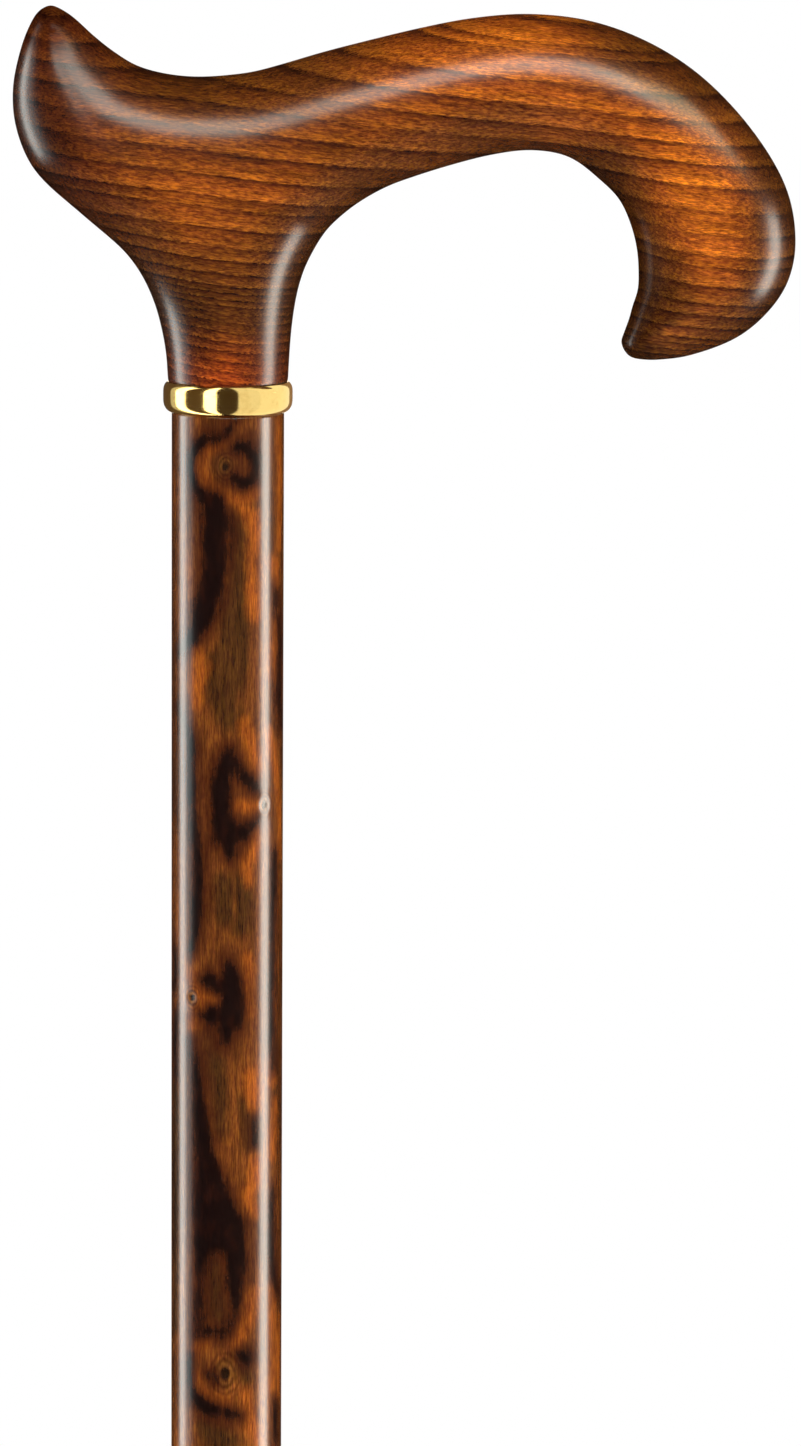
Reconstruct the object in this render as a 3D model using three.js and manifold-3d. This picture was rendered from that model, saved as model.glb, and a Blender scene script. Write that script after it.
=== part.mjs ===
// Derby handle cane: a beech handle on a brass collar and a knotty hardwood shaft with a rubber ferrule.
// Millimetres, +Z up along the shaft. The origin is the centre of the ferrule's sole, the tail points to -X
// and the hook to +X.
import * as THREE from "three";
import { mergeVertices } from "three/addons/utils/BufferGeometryUtils.js";
import Module from "manifold-3d";

// Overall
const caneLength = 925; // from the floor to the top of the tail
const fitClearance = 0.3; // between a piece and the socket that it sits in
const cutOverrun = 2; // how far a cut runs past the face that it opens

// Handle
const handleRise = 67.6; // from the neck's seat to the top of the tail
const hookReach = 102.1; // from the shaft's axis to the nose of the hook
const tailReach = 38.9; // from the shaft's axis to the back of the tail
const gripDepth = 24.5; // top to bottom where the fingers close round it
const gripThickness = 28; // side to side at the palm
const edgeRounding = 12; // radius that turns the flanks into the rim
const neckProud = 0.7; // how far the neck's seat stands out beyond the shaft

// Collar
const collarHeight = 5.4;
const collarBellyProud = 1.55; // beyond the shaft, where the collar is widest
const collarTopProud = 0.1; // beyond the neck
const collarFootProud = 0.5; // beyond the shaft
const collarRim = 0.5; // height of the plain rim above and below the belly

// Shaft
const shaftTopDiameter = 20.2;
const shaftTipDiameter = 18.4;
const shaftTipChamfer = 1.2;
const shoulderWidth = 1.4; // the step down to the spigot that the collar sits round
const spigotShortfall = 0.4; // keeps the spigot off the handle, so that the collar takes the load

// Dowel screw
const screwDiameter = 8;
const screwLength = 60;
const screwCoreDiameter = 5.6;
const screwPlainLength = 7; // unthreaded middle
const screwPointLength = 6;
const threadPitch = 3.6;
const boreSpare = 2; // depth left free beyond the screw's point

// Ferrule
const ferruleHeight = 42;
const ferruleBaseDiameter = 34;
const ferruleBaseHeight = 6;
const ferruleSleeveWall = 2.6;
const ferruleFlareHeight = 10;
const ferruleEdgeRounding = 1.6;
const soleThickness = 9; // rubber under the washer
const ribCount = 3;
const ribProud = 0.9;
const ribHeight = 2.4;
const treadDiscRadius = 4;
const treadGrooveCount = 3;
const treadGrooveWidth = 1.6;
const treadGrooveDepth = 1.4;

// Washer
const washerThickness = 1.5;

// Places along the cane that follow from the sizes above
const washerZ = soleThickness;
const shaftTipZ = washerZ + washerThickness + fitClearance;
const neckSeatZ = caneLength - handleRise;
const shoulderZ = neckSeatZ - collarHeight;
const shaftTopRadius = shaftTopDiameter / 2;
const neckRadius = shaftTopRadius + neckProud;
const spigotRadius = shaftTopRadius - shoulderWidth;
const boreRadius = screwDiameter / 2 + fitClearance;
const boreDepth = screwLength / 2 + boreSpare;

// Fineness of round stretches
const roundSides = 48;
const boreSides = 24;
const screwSides = 10;
const stepsPerTurn = 5; // rings per turn of thread
const stepsPerSection = 2; // handle stations per hand-drawn section
const flankSteps = 8; // points from the rim to the middle of a flank
const arcSteps = 6;

// The handle's hand-drawn sections. The spine runs from the tail's tip to the hook's toe. Its places are
// shares of the reach on their side and of the spine's rise. The rims lie off it by shares of the grip's
// depth, and fullness is the half thickness there as a share of the grip's.
const bodySectionShares = [
  { spine: [-0.81, 1.142], upper: [0.162, 0.081], lower: [-0.184, 0.015], fullness: 0.44 },
  { spine: [-0.787, 1.064], upper: [0.257, 0.137], lower: [-0.287, 0], fullness: 0.54 },
  { spine: [-0.74, 0.982], upper: [0.323, 0.211], lower: [-0.409, -0.074], fullness: 0.67 },
  { spine: [-0.652, 0.89], upper: [0.36, 0.311], lower: [-0.525, -0.148], fullness: 0.8 },
  { spine: [-0.509, 0.792], upper: [0.345, 0.473], lower: [-0.617, -0.237], fullness: 0.9 },
  { spine: [-0.324, 0.71], upper: [0.294, 0.636], lower: [-0.573, -0.366], fullness: 0.96 },
  { spine: [0, 0.655], upper: [0.088, 0.784], fullness: 0.99 },
  { spine: [0.074, 0.7], upper: [-0.088, 0.706], lower: [0.536, -0.348], fullness: 1 },
  { spine: [0.136, 0.756], upper: [-0.154, 0.632], lower: [0.419, -0.37], fullness: 1 },
  { spine: [0.206, 0.815], upper: [-0.169, 0.581], lower: [0.316, -0.4], fullness: 1 },
  { spine: [0.282, 0.874], upper: [-0.147, 0.536], lower: [0.198, -0.46], fullness: 0.99 },
  { spine: [0.361, 0.923], upper: [-0.11, 0.514], lower: [0.118, -0.492], fullness: 0.98 },
  { spine: [0.446, 0.961], upper: [-0.081, 0.503], lower: [0.066, -0.5], fullness: 0.97 },
  { spine: [0.532, 0.977], upper: [-0.015, 0.5], lower: [0.007, -0.5], fullness: 0.95 },
  { spine: [0.621, 0.956], upper: [0.073, 0.496], lower: [-0.088, -0.503], fullness: 0.93 },
  { spine: [0.707, 0.884], upper: [0.154, 0.496], lower: [-0.213, -0.514], fullness: 0.92 },
  { spine: [0.776, 0.776], upper: [0.257, 0.481], lower: [-0.367, -0.407], fullness: 0.9 },
  { spine: [0.827, 0.648], upper: [0.426, 0.355], lower: [-0.496, -0.296], fullness: 0.88 },
  { spine: [0.853, 0.517], upper: [0.551, 0.237], lower: [-0.558, -0.178], fullness: 0.85 },
  { spine: [0.853, 0.406], upper: [0.61, 0.096], lower: [-0.544, -0.089], fullness: 0.81 },
  { spine: [0.834, 0.311], upper: [0.632, 0.037], lower: [-0.47, -0.022], fullness: 0.75 },
  { spine: [0.804, 0.239], upper: [0.617, -0.015], lower: [-0.382, 0.022], fullness: 0.68 },
  { spine: [0.769, 0.187], upper: [0.536, -0.089], lower: [-0.264, 0.037], fullness: 0.59 },
  { spine: [0.735, 0.151], upper: [0.331, -0.141], lower: [-0.154, 0.03], fullness: 0.5 },
];
const tailTipShares = [[-0.11, 0.137], [-0.022, 0.181], [0.073, 0.144]];
const hookToeShares = [[0.147, -0.17], [0, -0.174], [-0.118, -0.148], [-0.176, -0.052]];

// The section where the neck branches off, with the rim in the crook on each side of the neck.
const branch = 6;
const crookShares = { left: [-0.816, -0.473], right: [0.713, -0.377] };

// The neck's sections, from the crooks down to the seat. Heights are shares of the neck's, flares are shares
// of the grip's depth beyond the seat's radius, and fullness leads from the seat's radius to the grip's half
// thickness.
const neckSectionShares = [
  { axis: 1.12, left: 0.9, right: 0.87, flareLeft: 0.28, flareRight: 0.14, fullness: 0.81 },
  { axis: 0.85, left: 0.76, right: 0.72, flareLeft: 0.185, flareRight: 0.085, fullness: 0.625 },
  { axis: 0.605, left: 0.58, right: 0.57, flareLeft: 0.103, flareRight: 0.051, fullness: 0.4 },
  { axis: 0.405, left: 0.4, right: 0.39, flareLeft: 0.051, flareRight: 0.026, fullness: 0.22 },
  { axis: 0.205, left: 0.205, right: 0.205, flareLeft: 0.015, flareRight: 0.011, fullness: 0.06 },
  { axis: 0, left: 0, right: 0, flareLeft: 0, flareRight: 0, fullness: 0 },
];
const flankCrownShare = 0.3; // how much of the flank's height is a crown right across it
const coreRadiusShare = screwCoreDiameter / screwDiameter;
const screwTipShare = 0.2; // of the screw's radius, left blunt at its points
const bellyHeightShare = 0.52; // where the collar is widest, as a share of its height
const ribbedShare = 0.6; // of the ferrule's sleeve, from the top rib's gap to the lowest rib
const ribSlopeShare = 0.25; // of a rib's height, taken by each of its slopes
const lipShare = 0.3; // of the sleeve's wall, rounded off at its lip
const flareHollowShares = [0.28, 0.22]; // how the ferrule's flare draws in between its base and its sleeve

const wasm = await Module();
wasm.setup();

// A closed geometry as a solid that can be joined and cut.
function solidOf(geometry) {
  const bare = geometry.clone();
  bare.deleteAttribute("normal");
  bare.deleteAttribute("uv");
  const merged = mergeVertices(bare);
  const mesh = new wasm.Mesh({
    numProp: 3,
    vertProperties: merged.attributes.position.array,
    triVerts: new Uint32Array(merged.index.array),
  });
  return new wasm.Manifold(mesh);
}

// A solid as a geometry again.
function geometryOf(solid) {
  const mesh = solid.getMesh();
  const geometry = new THREE.BufferGeometry();
  geometry.setAttribute("position", new THREE.BufferAttribute(mesh.vertProperties, 3));
  geometry.setIndex(new THREE.BufferAttribute(mesh.triVerts, 1));
  geometry.computeVertexNormals();
  return geometry;
}

// A geometry from triangles given as corners, without those that have no width.
function geometryOfTriangles(triangles) {
  const broad = triangles.filter(([a, b, c]) => !a.equals(b) && !b.equals(c) && !c.equals(a));
  const merged = mergeVertices(new THREE.BufferGeometry().setFromPoints(broad.flat()));
  merged.computeVertexNormals();
  return merged;
}

// A profile of [radius, height] points turned about the Z axis.
function turned(profile, sides = roundSides) {
  const points = profile.map(([radius, height]) => new THREE.Vector2(radius, height));
  return new THREE.LatheGeometry(points, sides).rotateX(Math.PI / 2);
}

// Two triangles over the corners a, b, c and d of a quad, in turning order.
function quad(a, b, c, d) {
  return [[a, b, c], [a, c, d]];
}

// The handle's spine, as points whose y is the half thickness.
function spinePoints() {
  const spineRise = handleRise - gripDepth / 2;
  return bodySectionShares.map(({ spine, fullness }) => {
    const reach = spine[0] < 0 ? tailReach : hookReach;
    return new THREE.Vector3(spine[0] * reach, (fullness * gripThickness) / 2, spine[1] * spineRise);
  });
}

// A rim point off a spine point, by shares of the grip's depth.
function rimOff(point, [across, up]) {
  return new THREE.Vector3(point.x + across * gripDepth, 0, point.z + up * gripDepth);
}

// The rim's loop from the neck's seat up the tail's side, over the grip and back down to the seat. Each
// stop holds its rim point and the knot of the spine or of the neck's line that its section ends on.
function rimStops(spine) {
  const branchPoint = spine[branch];
  const leftCrook = rimOff(branchPoint, crookShares.left);
  const rightCrook = rimOff(branchPoint, crookShares.right);
  const neckSide = (side) =>
    neckSectionShares.map((row, i) => {
      const flare = side < 0 ? row.flareLeft : row.flareRight;
      const height = (side < 0 ? row.left : row.right) * leftCrook.z;
      return { rim: new THREE.Vector3(side * (neckRadius + flare * gripDepth), 0, height), neck: i + 1 };
    });
  const bodySide = (side, from, to) =>
    bodySectionShares.slice(from, to).map((row, i) => ({
      rim: rimOff(spine[from + i], row[side]),
      spine: from + i,
    }));
  const last = bodySectionShares.length - 1;
  const fan = (shares, knot) => shares.map((share) => ({ rim: rimOff(spine[knot], share), spine: knot }));
  return [
    ...neckSide(-1).reverse(),
    { rim: leftCrook, spine: branch, neck: 0 },
    ...bodySide("lower", 0, branch).reverse(),
    ...fan(tailTipShares, 0),
    ...bodySide("upper", 0, last + 1),
    ...fan(hookToeShares, last),
    ...bodySide("lower", branch + 1, last + 1).reverse(),
    { rim: rightCrook, spine: branch, neck: 0 },
    ...neckSide(1),
  ];
}

// The neck's line from the branch down the shaft's axis, as points whose y is the half thickness.
function neckPoints(branchPoint) {
  const crookZ = branchPoint.z + crookShares.left[1] * gripDepth;
  const spare = gripThickness / 2 - neckRadius;
  const below = neckSectionShares.map(
    ({ axis, fullness }) => new THREE.Vector3(0, neckRadius + fullness * spare, axis * crookZ),
  );
  return [branchPoint, ...below];
}

// The handle's section at one station: points from the rim to the middle of the flank.
function flankSection(rim, ridge) {
  const width = Math.hypot(ridge.x - rim.x, ridge.z - rim.z);
  const rounding = Math.min(width, Math.max(edgeRounding, neckRadius));
  const points = [];
  for (let i = 0; i <= flankSteps; i++) {
    const turn = (Math.PI / 2) * (i / flankSteps);
    const inward = 1 - Math.cos(turn);
    const toCore = Math.max(0, 1 - (inward * width) / rounding);
    const edge = Math.sqrt(1 - toCore * toCore);
    const height = (1 - flankCrownShare) * edge + flankCrownShare * Math.sin(turn);
    const point = new THREE.Vector3().lerpVectors(rim, ridge, inward);
    point.y = height * ridge.y;
    points.push(point);
  }
  points[flankSteps].copy(ridge);
  return points;
}

// Sections all round the rim's loop, with steps between the hand-drawn ones.
function flankSections() {
  const spine = spinePoints();
  const neck = neckPoints(spine[branch]);
  const stops = rimStops(spine);
  const spineLine = new THREE.CatmullRomCurve3(spine);
  const neckLine = new THREE.CatmullRomCurve3(neck);
  const rimLine = new THREE.CatmullRomCurve3(stops.map((stop) => stop.rim));
  const sections = [];
  for (let i = 0; i + 1 < stops.length; i++) {
    const onSpine = stops[i].spine !== undefined && stops[i + 1].spine !== undefined;
    const key = onSpine ? "spine" : "neck";
    const line = onSpine ? spineLine : neckLine;
    const steps = i + 2 === stops.length ? stepsPerSection + 1 : stepsPerSection;
    for (let step = 0; step < steps; step++) {
      const share = step / stepsPerSection;
      const knot = THREE.MathUtils.lerp(stops[i][key], stops[i + 1][key], share);
      const rim = rimLine.getPoint((i + share) / (stops.length - 1));
      const ridge = line.getPoint(knot / (line.points.length - 1));
      sections.push(flankSection(rim, ridge));
    }
  }
  return sections;
}

// The handle's whole skin: both flanks and the flat seat under the neck.
function handleSkin() {
  const sections = flankSections();
  const mirrored = sections.map((section) => section.map((p) => new THREE.Vector3(p.x, -p.y, p.z)));
  const triangles = [];
  for (let i = 0; i + 1 < sections.length; i++) {
    for (let j = 0; j < flankSteps; j++) {
      const far = [sections[i + 1][j], sections[i + 1][j + 1], sections[i][j + 1], sections[i][j]];
      const near = [mirrored[i][j], mirrored[i][j + 1], mirrored[i + 1][j + 1], mirrored[i + 1][j]];
      triangles.push(...quad(...far), ...quad(...near));
    }
  }
  const seatCentre = new THREE.Vector3(0, 0, 0);
  const last = sections.length - 1;
  for (let j = 0; j < flankSteps; j++) {
    triangles.push([seatCentre, sections[0][j], sections[0][j + 1]]);
    triangles.push([seatCentre, sections[last][j + 1], sections[last][j]]);
    triangles.push([seatCentre, mirrored[0][j + 1], mirrored[0][j]]);
    triangles.push([seatCentre, mirrored[last][j], mirrored[last][j + 1]]);
  }
  return geometryOfTriangles(triangles);
}

// A blind bore's cutter along Z, from the mouth at height zero up to the bore's depth, running out past the
// mouth.
function boreCutter(mouthRun) {
  const length = boreDepth + mouthRun;
  const cutter = new THREE.CylinderGeometry(boreRadius, boreRadius, length, boreSides);
  return cutter.rotateX(Math.PI / 2).translate(0, 0, length / 2 - mouthRun);
}

function handleGeometry() {
  return geometryOf(solidOf(handleSkin()).subtract(solidOf(boreCutter(cutOverrun))));
}

// The collar's ring, its outside bellied between two plain rims. Height zero is its foot.
function collarGeometry() {
  const boreR = spigotRadius + fitClearance;
  const footR = shaftTopRadius + collarFootProud;
  const topR = neckRadius + collarTopProud;
  const bellyR = shaftTopRadius + collarBellyProud;
  const bellyZ = collarHeight * bellyHeightShare;
  const profile = [[boreR, 0], [footR, 0]];
  for (let i = 0; i <= arcSteps; i++) {
    const turn = (Math.PI / 2) * (i / arcSteps);
    const drop = (bellyZ - collarRim) * Math.cos(turn);
    profile.push([footR + (bellyR - footR) * Math.sin(turn), bellyZ - drop]);
  }
  for (let i = 1; i <= arcSteps; i++) {
    const turn = (Math.PI / 2) * (i / arcSteps);
    const rise = (collarHeight - collarRim - bellyZ) * Math.sin(turn);
    profile.push([topR + (bellyR - topR) * Math.cos(turn), bellyZ + rise]);
  }
  profile.push([topR, collarHeight], [boreR, collarHeight], [boreR, 0]);
  return turned(profile);
}

// The shaft's radius at a height above the floor.
function shaftRadiusAt(z) {
  const share = (z - shaftTipZ) / (shoulderZ - shaftTipZ);
  return THREE.MathUtils.lerp(shaftTipDiameter / 2, shaftTopRadius, share);
}

// The shaft in the cane's own heights, with its spigot and the bore for the screw.
function shaftGeometry() {
  const spigotTopZ = neckSeatZ - spigotShortfall;
  const profile = [
    [0, shaftTipZ],
    [shaftRadiusAt(shaftTipZ) - shaftTipChamfer, shaftTipZ],
    [shaftRadiusAt(shaftTipZ + shaftTipChamfer), shaftTipZ + shaftTipChamfer],
    [shaftRadiusAt(shoulderZ), shoulderZ],
    [spigotRadius, shoulderZ],
    [spigotRadius, spigotTopZ],
    [0, spigotTopZ],
  ];
  const cutter = boreCutter(cutOverrun).rotateX(Math.PI).translate(0, 0, neckSeatZ);
  return geometryOf(solidOf(turned(profile)).subtract(solidOf(cutter)));
}

// The screw's radius at a height from its middle and an angle: a pointed core with a wood thread on each
// end.
function screwRadiusAt(height, angle) {
  const fromEnd = screwLength / 2 - Math.abs(height);
  const point = Math.min(1, screwTipShare + (1 - screwTipShare) * (fromEnd / screwPointLength));
  if (Math.abs(height) <= screwPlainLength / 2) return screwDiameter / 2;
  const phase = height / threadPitch - angle / (2 * Math.PI);
  const crest = Math.abs(2 * (phase - Math.floor(phase)) - 1);
  const thread = coreRadiusShare + (1 - coreRadiusShare) * crest;
  return (screwDiameter / 2) * thread * point;
}

// The screw about its middle: rings up its length, closed by a flat at each point.
function dowelScrewGeometry() {
  const ringCount = Math.ceil((screwLength / threadPitch) * stepsPerTurn);
  const rings = [];
  for (let i = 0; i <= ringCount; i++) {
    const height = screwLength * (i / ringCount - 1 / 2);
    const ring = [];
    for (let side = 0; side < screwSides; side++) {
      const angle = (2 * Math.PI * side) / screwSides;
      const radius = screwRadiusAt(height, angle);
      ring.push(new THREE.Vector3(radius * Math.cos(angle), radius * Math.sin(angle), height));
    }
    rings.push(ring);
  }
  const bottom = new THREE.Vector3(0, 0, -screwLength / 2);
  const top = new THREE.Vector3(0, 0, screwLength / 2);
  const triangles = [];
  for (let side = 0; side < screwSides; side++) {
    const next = (side + 1) % screwSides;
    for (let i = 0; i < ringCount; i++) {
      triangles.push(...quad(rings[i][side], rings[i][next], rings[i + 1][next], rings[i + 1][side]));
    }
    triangles.push([bottom, rings[0][next], rings[0][side]]);
    triangles.push([top, rings[ringCount][side], rings[ringCount][next]]);
  }
  return geometryOfTriangles(triangles);
}

// The radius of the socket that the shaft's end is pushed into, and of the sleeve round it.
const socketRadius = shaftRadiusAt(ferruleHeight) + fitClearance;
const sleeveRadius = socketRadius + ferruleSleeveWall;
const flareTopZ = ferruleBaseHeight + ferruleFlareHeight;

// The sole's profile from the axis out to the edge: a disc and lands parted by round grooves.
function treadProfile() {
  const edge = ferruleBaseDiameter / 2 - ferruleEdgeRounding;
  const pitch = (edge - treadDiscRadius) / treadGrooveCount;
  const profile = [[0, 0]];
  for (let i = 0; i < treadGrooveCount; i++) {
    const inner = treadDiscRadius + i * pitch;
    const outer = inner + treadGrooveWidth;
    profile.push([inner, 0], [inner, treadGrooveDepth], [outer, treadGrooveDepth], [outer, 0]);
  }
  return profile;
}

// The edge of the ferrule's base, rounded below, and the hollow flare from it up to the sleeve.
function flareProfile() {
  const baseR = ferruleBaseDiameter / 2;
  const profile = [];
  for (let i = 0; i <= arcSteps; i++) {
    const turn = (Math.PI / 2) * (i / arcSteps);
    const inset = ferruleEdgeRounding * (1 - Math.sin(turn));
    profile.push([baseR - inset, ferruleEdgeRounding * (1 - Math.cos(turn))]);
  }
  const flare = new THREE.QuadraticBezierCurve(
    new THREE.Vector2(baseR, ferruleBaseHeight),
    new THREE.Vector2(
      sleeveRadius + (baseR - sleeveRadius) * flareHollowShares[0],
      ferruleBaseHeight + ferruleFlareHeight * flareHollowShares[1],
    ),
    new THREE.Vector2(sleeveRadius, flareTopZ),
  );
  const points = flare.getPoints(arcSteps).map((p) => [p.x, p.y]);
  return [...profile, ...points];
}

// The ribs round the sleeve, from the lowest to the top one.
function ribProfile() {
  const pitch = ((ferruleHeight - flareTopZ) * ribbedShare) / ribCount;
  const slope = ribHeight * ribSlopeShare;
  const profile = [];
  for (let i = ribCount; i > 0; i--) {
    const bottomZ = ferruleHeight - i * pitch;
    const topZ = bottomZ + ribHeight;
    profile.push([sleeveRadius, bottomZ], [sleeveRadius + ribProud, bottomZ + slope]);
    profile.push([sleeveRadius + ribProud, topZ - slope], [sleeveRadius, topZ]);
  }
  return profile;
}

function ferruleGeometry() {
  const lip = ferruleSleeveWall * lipShare;
  const profile = [
    ...treadProfile(),
    ...flareProfile(),
    ...ribProfile(),
    [sleeveRadius, ferruleHeight - lip],
    [sleeveRadius - lip, ferruleHeight],
    [socketRadius + lip, ferruleHeight],
    [socketRadius, ferruleHeight - lip],
    [socketRadius, soleThickness],
    [0, soleThickness],
  ];
  return turned(profile);
}

function washerGeometry() {
  const radius = socketRadius - fitClearance;
  return turned([[0, 0], [radius, 0], [radius, washerThickness], [0, washerThickness]]);
}

const beech = new THREE.MeshStandardMaterial({ color: 0x8e4a1c, roughness: 0.35, metalness: 0 });
const knottyWood = new THREE.MeshStandardMaterial({ color: 0x5c2f14, roughness: 0.2, metalness: 0 });
const brass = new THREE.MeshStandardMaterial({ color: 0xdcb562, roughness: 0.15, metalness: 1 });
const steel = new THREE.MeshStandardMaterial({ color: 0xb8babd, roughness: 0.35, metalness: 1 });
const rubber = new THREE.MeshStandardMaterial({ color: 0x1d1c1b, roughness: 0.8, metalness: 0 });

// A named mesh at a height above the floor.
function piece(name, geometry, material, z = 0) {
  const mesh = new THREE.Mesh(geometry, material);
  mesh.name = name;
  mesh.position.z = z;
  return mesh;
}

const cane = new THREE.Group();
cane.add(
  piece("handle", handleGeometry(), beech, neckSeatZ),
  piece("collar", collarGeometry(), brass, shoulderZ),
  piece("shaft", shaftGeometry(), knottyWood),
  piece("dowel_screw", dowelScrewGeometry(), steel, neckSeatZ),
);

const foot = new THREE.Group();
foot.add(
  piece("ferrule", ferruleGeometry(), rubber),
  piece("ferrule_washer", washerGeometry(), steel, washerZ),
);

const derbyCane = new THREE.Group();
derbyCane.add(cane, foot);

export default derbyCane;
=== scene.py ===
"""A derby handle cane: flamed beech handle, brass collar, knotty lacquered shaft and rubber ferrule.

Metres, +Z up along the shaft, the tail of the handle towards -X and its hook towards +X, in the CAD's frame.
"""

import math
import random

import bmesh
import bpy
from mathutils import Matrix, Quaternion, Vector


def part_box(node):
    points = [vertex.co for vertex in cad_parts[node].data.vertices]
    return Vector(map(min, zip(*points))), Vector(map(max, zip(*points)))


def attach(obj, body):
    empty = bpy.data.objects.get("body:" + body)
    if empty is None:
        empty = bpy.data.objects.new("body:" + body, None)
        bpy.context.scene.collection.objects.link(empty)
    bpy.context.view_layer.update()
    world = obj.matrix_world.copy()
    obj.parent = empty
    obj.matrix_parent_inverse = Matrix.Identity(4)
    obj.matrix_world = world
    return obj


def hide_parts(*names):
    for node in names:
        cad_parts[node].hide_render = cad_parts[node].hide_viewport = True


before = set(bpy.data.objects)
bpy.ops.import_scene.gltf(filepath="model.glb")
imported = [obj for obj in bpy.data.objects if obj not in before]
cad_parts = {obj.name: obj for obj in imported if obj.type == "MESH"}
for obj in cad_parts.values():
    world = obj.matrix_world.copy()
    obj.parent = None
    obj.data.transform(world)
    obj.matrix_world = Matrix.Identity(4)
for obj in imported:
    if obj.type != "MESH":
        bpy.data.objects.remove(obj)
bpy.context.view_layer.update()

MM = 0.001

# Sizes read from the CAD pieces
HANDLE_LOW, HANDLE_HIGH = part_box("handle")
COLLAR_LOW, COLLAR_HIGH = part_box("collar")
SHAFT_LOW, SHAFT_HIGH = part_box("shaft")
SCREW_LOW, SCREW_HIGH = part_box("dowel_screw")
FERRULE_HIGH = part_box("ferrule")[1]
WASHER_LOW, WASHER_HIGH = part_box("ferrule_washer")
SEAT_Z = HANDLE_LOW.z
SHOULDER_Z = COLLAR_LOW.z
TIP_Z = SHAFT_LOW.z
HANDLE_RISE = HANDLE_HIGH.z - SEAT_Z
HOOK_REACH = HANDLE_HIGH.x
TAIL_REACH = -HANDLE_LOW.x
GRIP_THICKNESS = HANDLE_HIGH.y - HANDLE_LOW.y
SHAFT_TOP_RADIUS = SHAFT_HIGH.x
COLLAR_HEIGHT = COLLAR_HIGH.z - COLLAR_LOW.z
COLLAR_BELLY_RADIUS = COLLAR_HIGH.x
FERRULE_HEIGHT = FERRULE_HIGH.z
FERRULE_RADIUS = FERRULE_HIGH.x
WASHER_RADIUS = WASHER_HIGH.x
SCREW_RADIUS = SCREW_HIGH.x
SCREW_LENGTH = SCREW_HIGH.z - SCREW_LOW.z

# Sizes that no box gives
CLEARANCE = 0.3 * MM
GRIP_DEPTH = 24.5 * MM
EDGE_ROUNDING = 12 * MM
NECK_PROUD = 0.7 * MM
NECK_RADIUS = SHAFT_TOP_RADIUS + NECK_PROUD
SHAFT_TIP_RADIUS = 9.2 * MM
SHAFT_TIP_CHAMFER = 1.2 * MM
SPIGOT_RADIUS = SHAFT_TOP_RADIUS - 1.4 * MM
SPIGOT_SHORTFALL = 0.4 * MM
BORE_RADIUS = 4.3 * MM
BORE_DEPTH = 32 * MM
BORE_POINT = 1.6 * MM
SOLE_THICKNESS = WASHER_LOW.z
BROKEN_EDGE = 0.25 * MM
MERGE = 0.002 * MM
SHARP_ANGLE = math.radians(40)

# The handle's sections, as in the CAD: the spine as shares of the reach and of its rise, the upper
# and lower rim as shares of the grip's depth off the spine, and the half thickness as a share of the grip's
BODY_SECTIONS = [
    ((-0.81, 1.142), (0.162, 0.081), (-0.184, 0.015), 0.44),
    ((-0.787, 1.064), (0.257, 0.137), (-0.287, 0), 0.54),
    ((-0.74, 0.982), (0.323, 0.211), (-0.409, -0.074), 0.67),
    ((-0.652, 0.89), (0.36, 0.311), (-0.525, -0.148), 0.8),
    ((-0.509, 0.792), (0.345, 0.473), (-0.617, -0.237), 0.9),
    ((-0.324, 0.71), (0.294, 0.636), (-0.573, -0.366), 0.96),
    ((0, 0.655), (0.088, 0.784), None, 0.99),
    ((0.074, 0.7), (-0.088, 0.706), (0.536, -0.348), 1),
    ((0.136, 0.756), (-0.154, 0.632), (0.419, -0.37), 1),
    ((0.206, 0.815), (-0.169, 0.581), (0.316, -0.4), 1),
    ((0.282, 0.874), (-0.147, 0.536), (0.198, -0.46), 0.99),
    ((0.361, 0.923), (-0.11, 0.514), (0.118, -0.492), 0.98),
    ((0.446, 0.961), (-0.081, 0.503), (0.066, -0.5), 0.97),
    ((0.532, 0.977), (-0.015, 0.5), (0.007, -0.5), 0.95),
    ((0.621, 0.956), (0.073, 0.496), (-0.088, -0.503), 0.93),
    ((0.707, 0.884), (0.154, 0.496), (-0.213, -0.514), 0.92),
    ((0.776, 0.776), (0.257, 0.481), (-0.367, -0.407), 0.9),
    ((0.827, 0.648), (0.426, 0.355), (-0.496, -0.296), 0.88),
    ((0.853, 0.517), (0.551, 0.237), (-0.558, -0.178), 0.85),
    ((0.853, 0.406), (0.61, 0.096), (-0.544, -0.089), 0.81),
    ((0.834, 0.311), (0.632, 0.037), (-0.47, -0.022), 0.75),
    ((0.804, 0.239), (0.617, -0.015), (-0.382, 0.022), 0.68),
    ((0.769, 0.187), (0.536, -0.089), (-0.264, 0.037), 0.59),
    ((0.735, 0.151), (0.331, -0.141), (-0.154, 0.03), 0.5),
]

# The columns of the two rims, the row that the neck branches from, and the rim's other points round the ends
# and in the two crooks, also as shares of the grip's depth off the spine
UPPER, LOWER = 1, 2
BRANCH = 6
TAIL_TIP_SHARES = [(-0.11, 0.137), (-0.022, 0.181), (0.073, 0.144)]
HOOK_TOE_SHARES = [(0.147, -0.17), (0, -0.174), (-0.118, -0.148), (-0.176, -0.052)]
LEFT_CROOK_SHARE = (-0.816, -0.473)
RIGHT_CROOK_SHARE = (0.713, -0.377)

# The neck's sections from the crook down: the height on the axis, the height and the flare of the left rim,
# the same of the right rim, and the share of the grip's spare thickness
NECK_SECTIONS = [
    (1.12, (0.9, 0.28), (0.87, 0.14), 0.81),
    (0.85, (0.76, 0.185), (0.72, 0.085), 0.625),
    (0.605, (0.58, 0.103), (0.57, 0.051), 0.4),
    (0.405, (0.4, 0.051), (0.39, 0.026), 0.22),
    (0.205, (0.205, 0.015), (0.205, 0.011), 0.06),
    (0, (0, 0), (0, 0), 0),
]
FLANK_CROWN_SHARE = 0.3
STEPS_PER_SECTION = 4
FLANK_STEPS = 14
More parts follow.
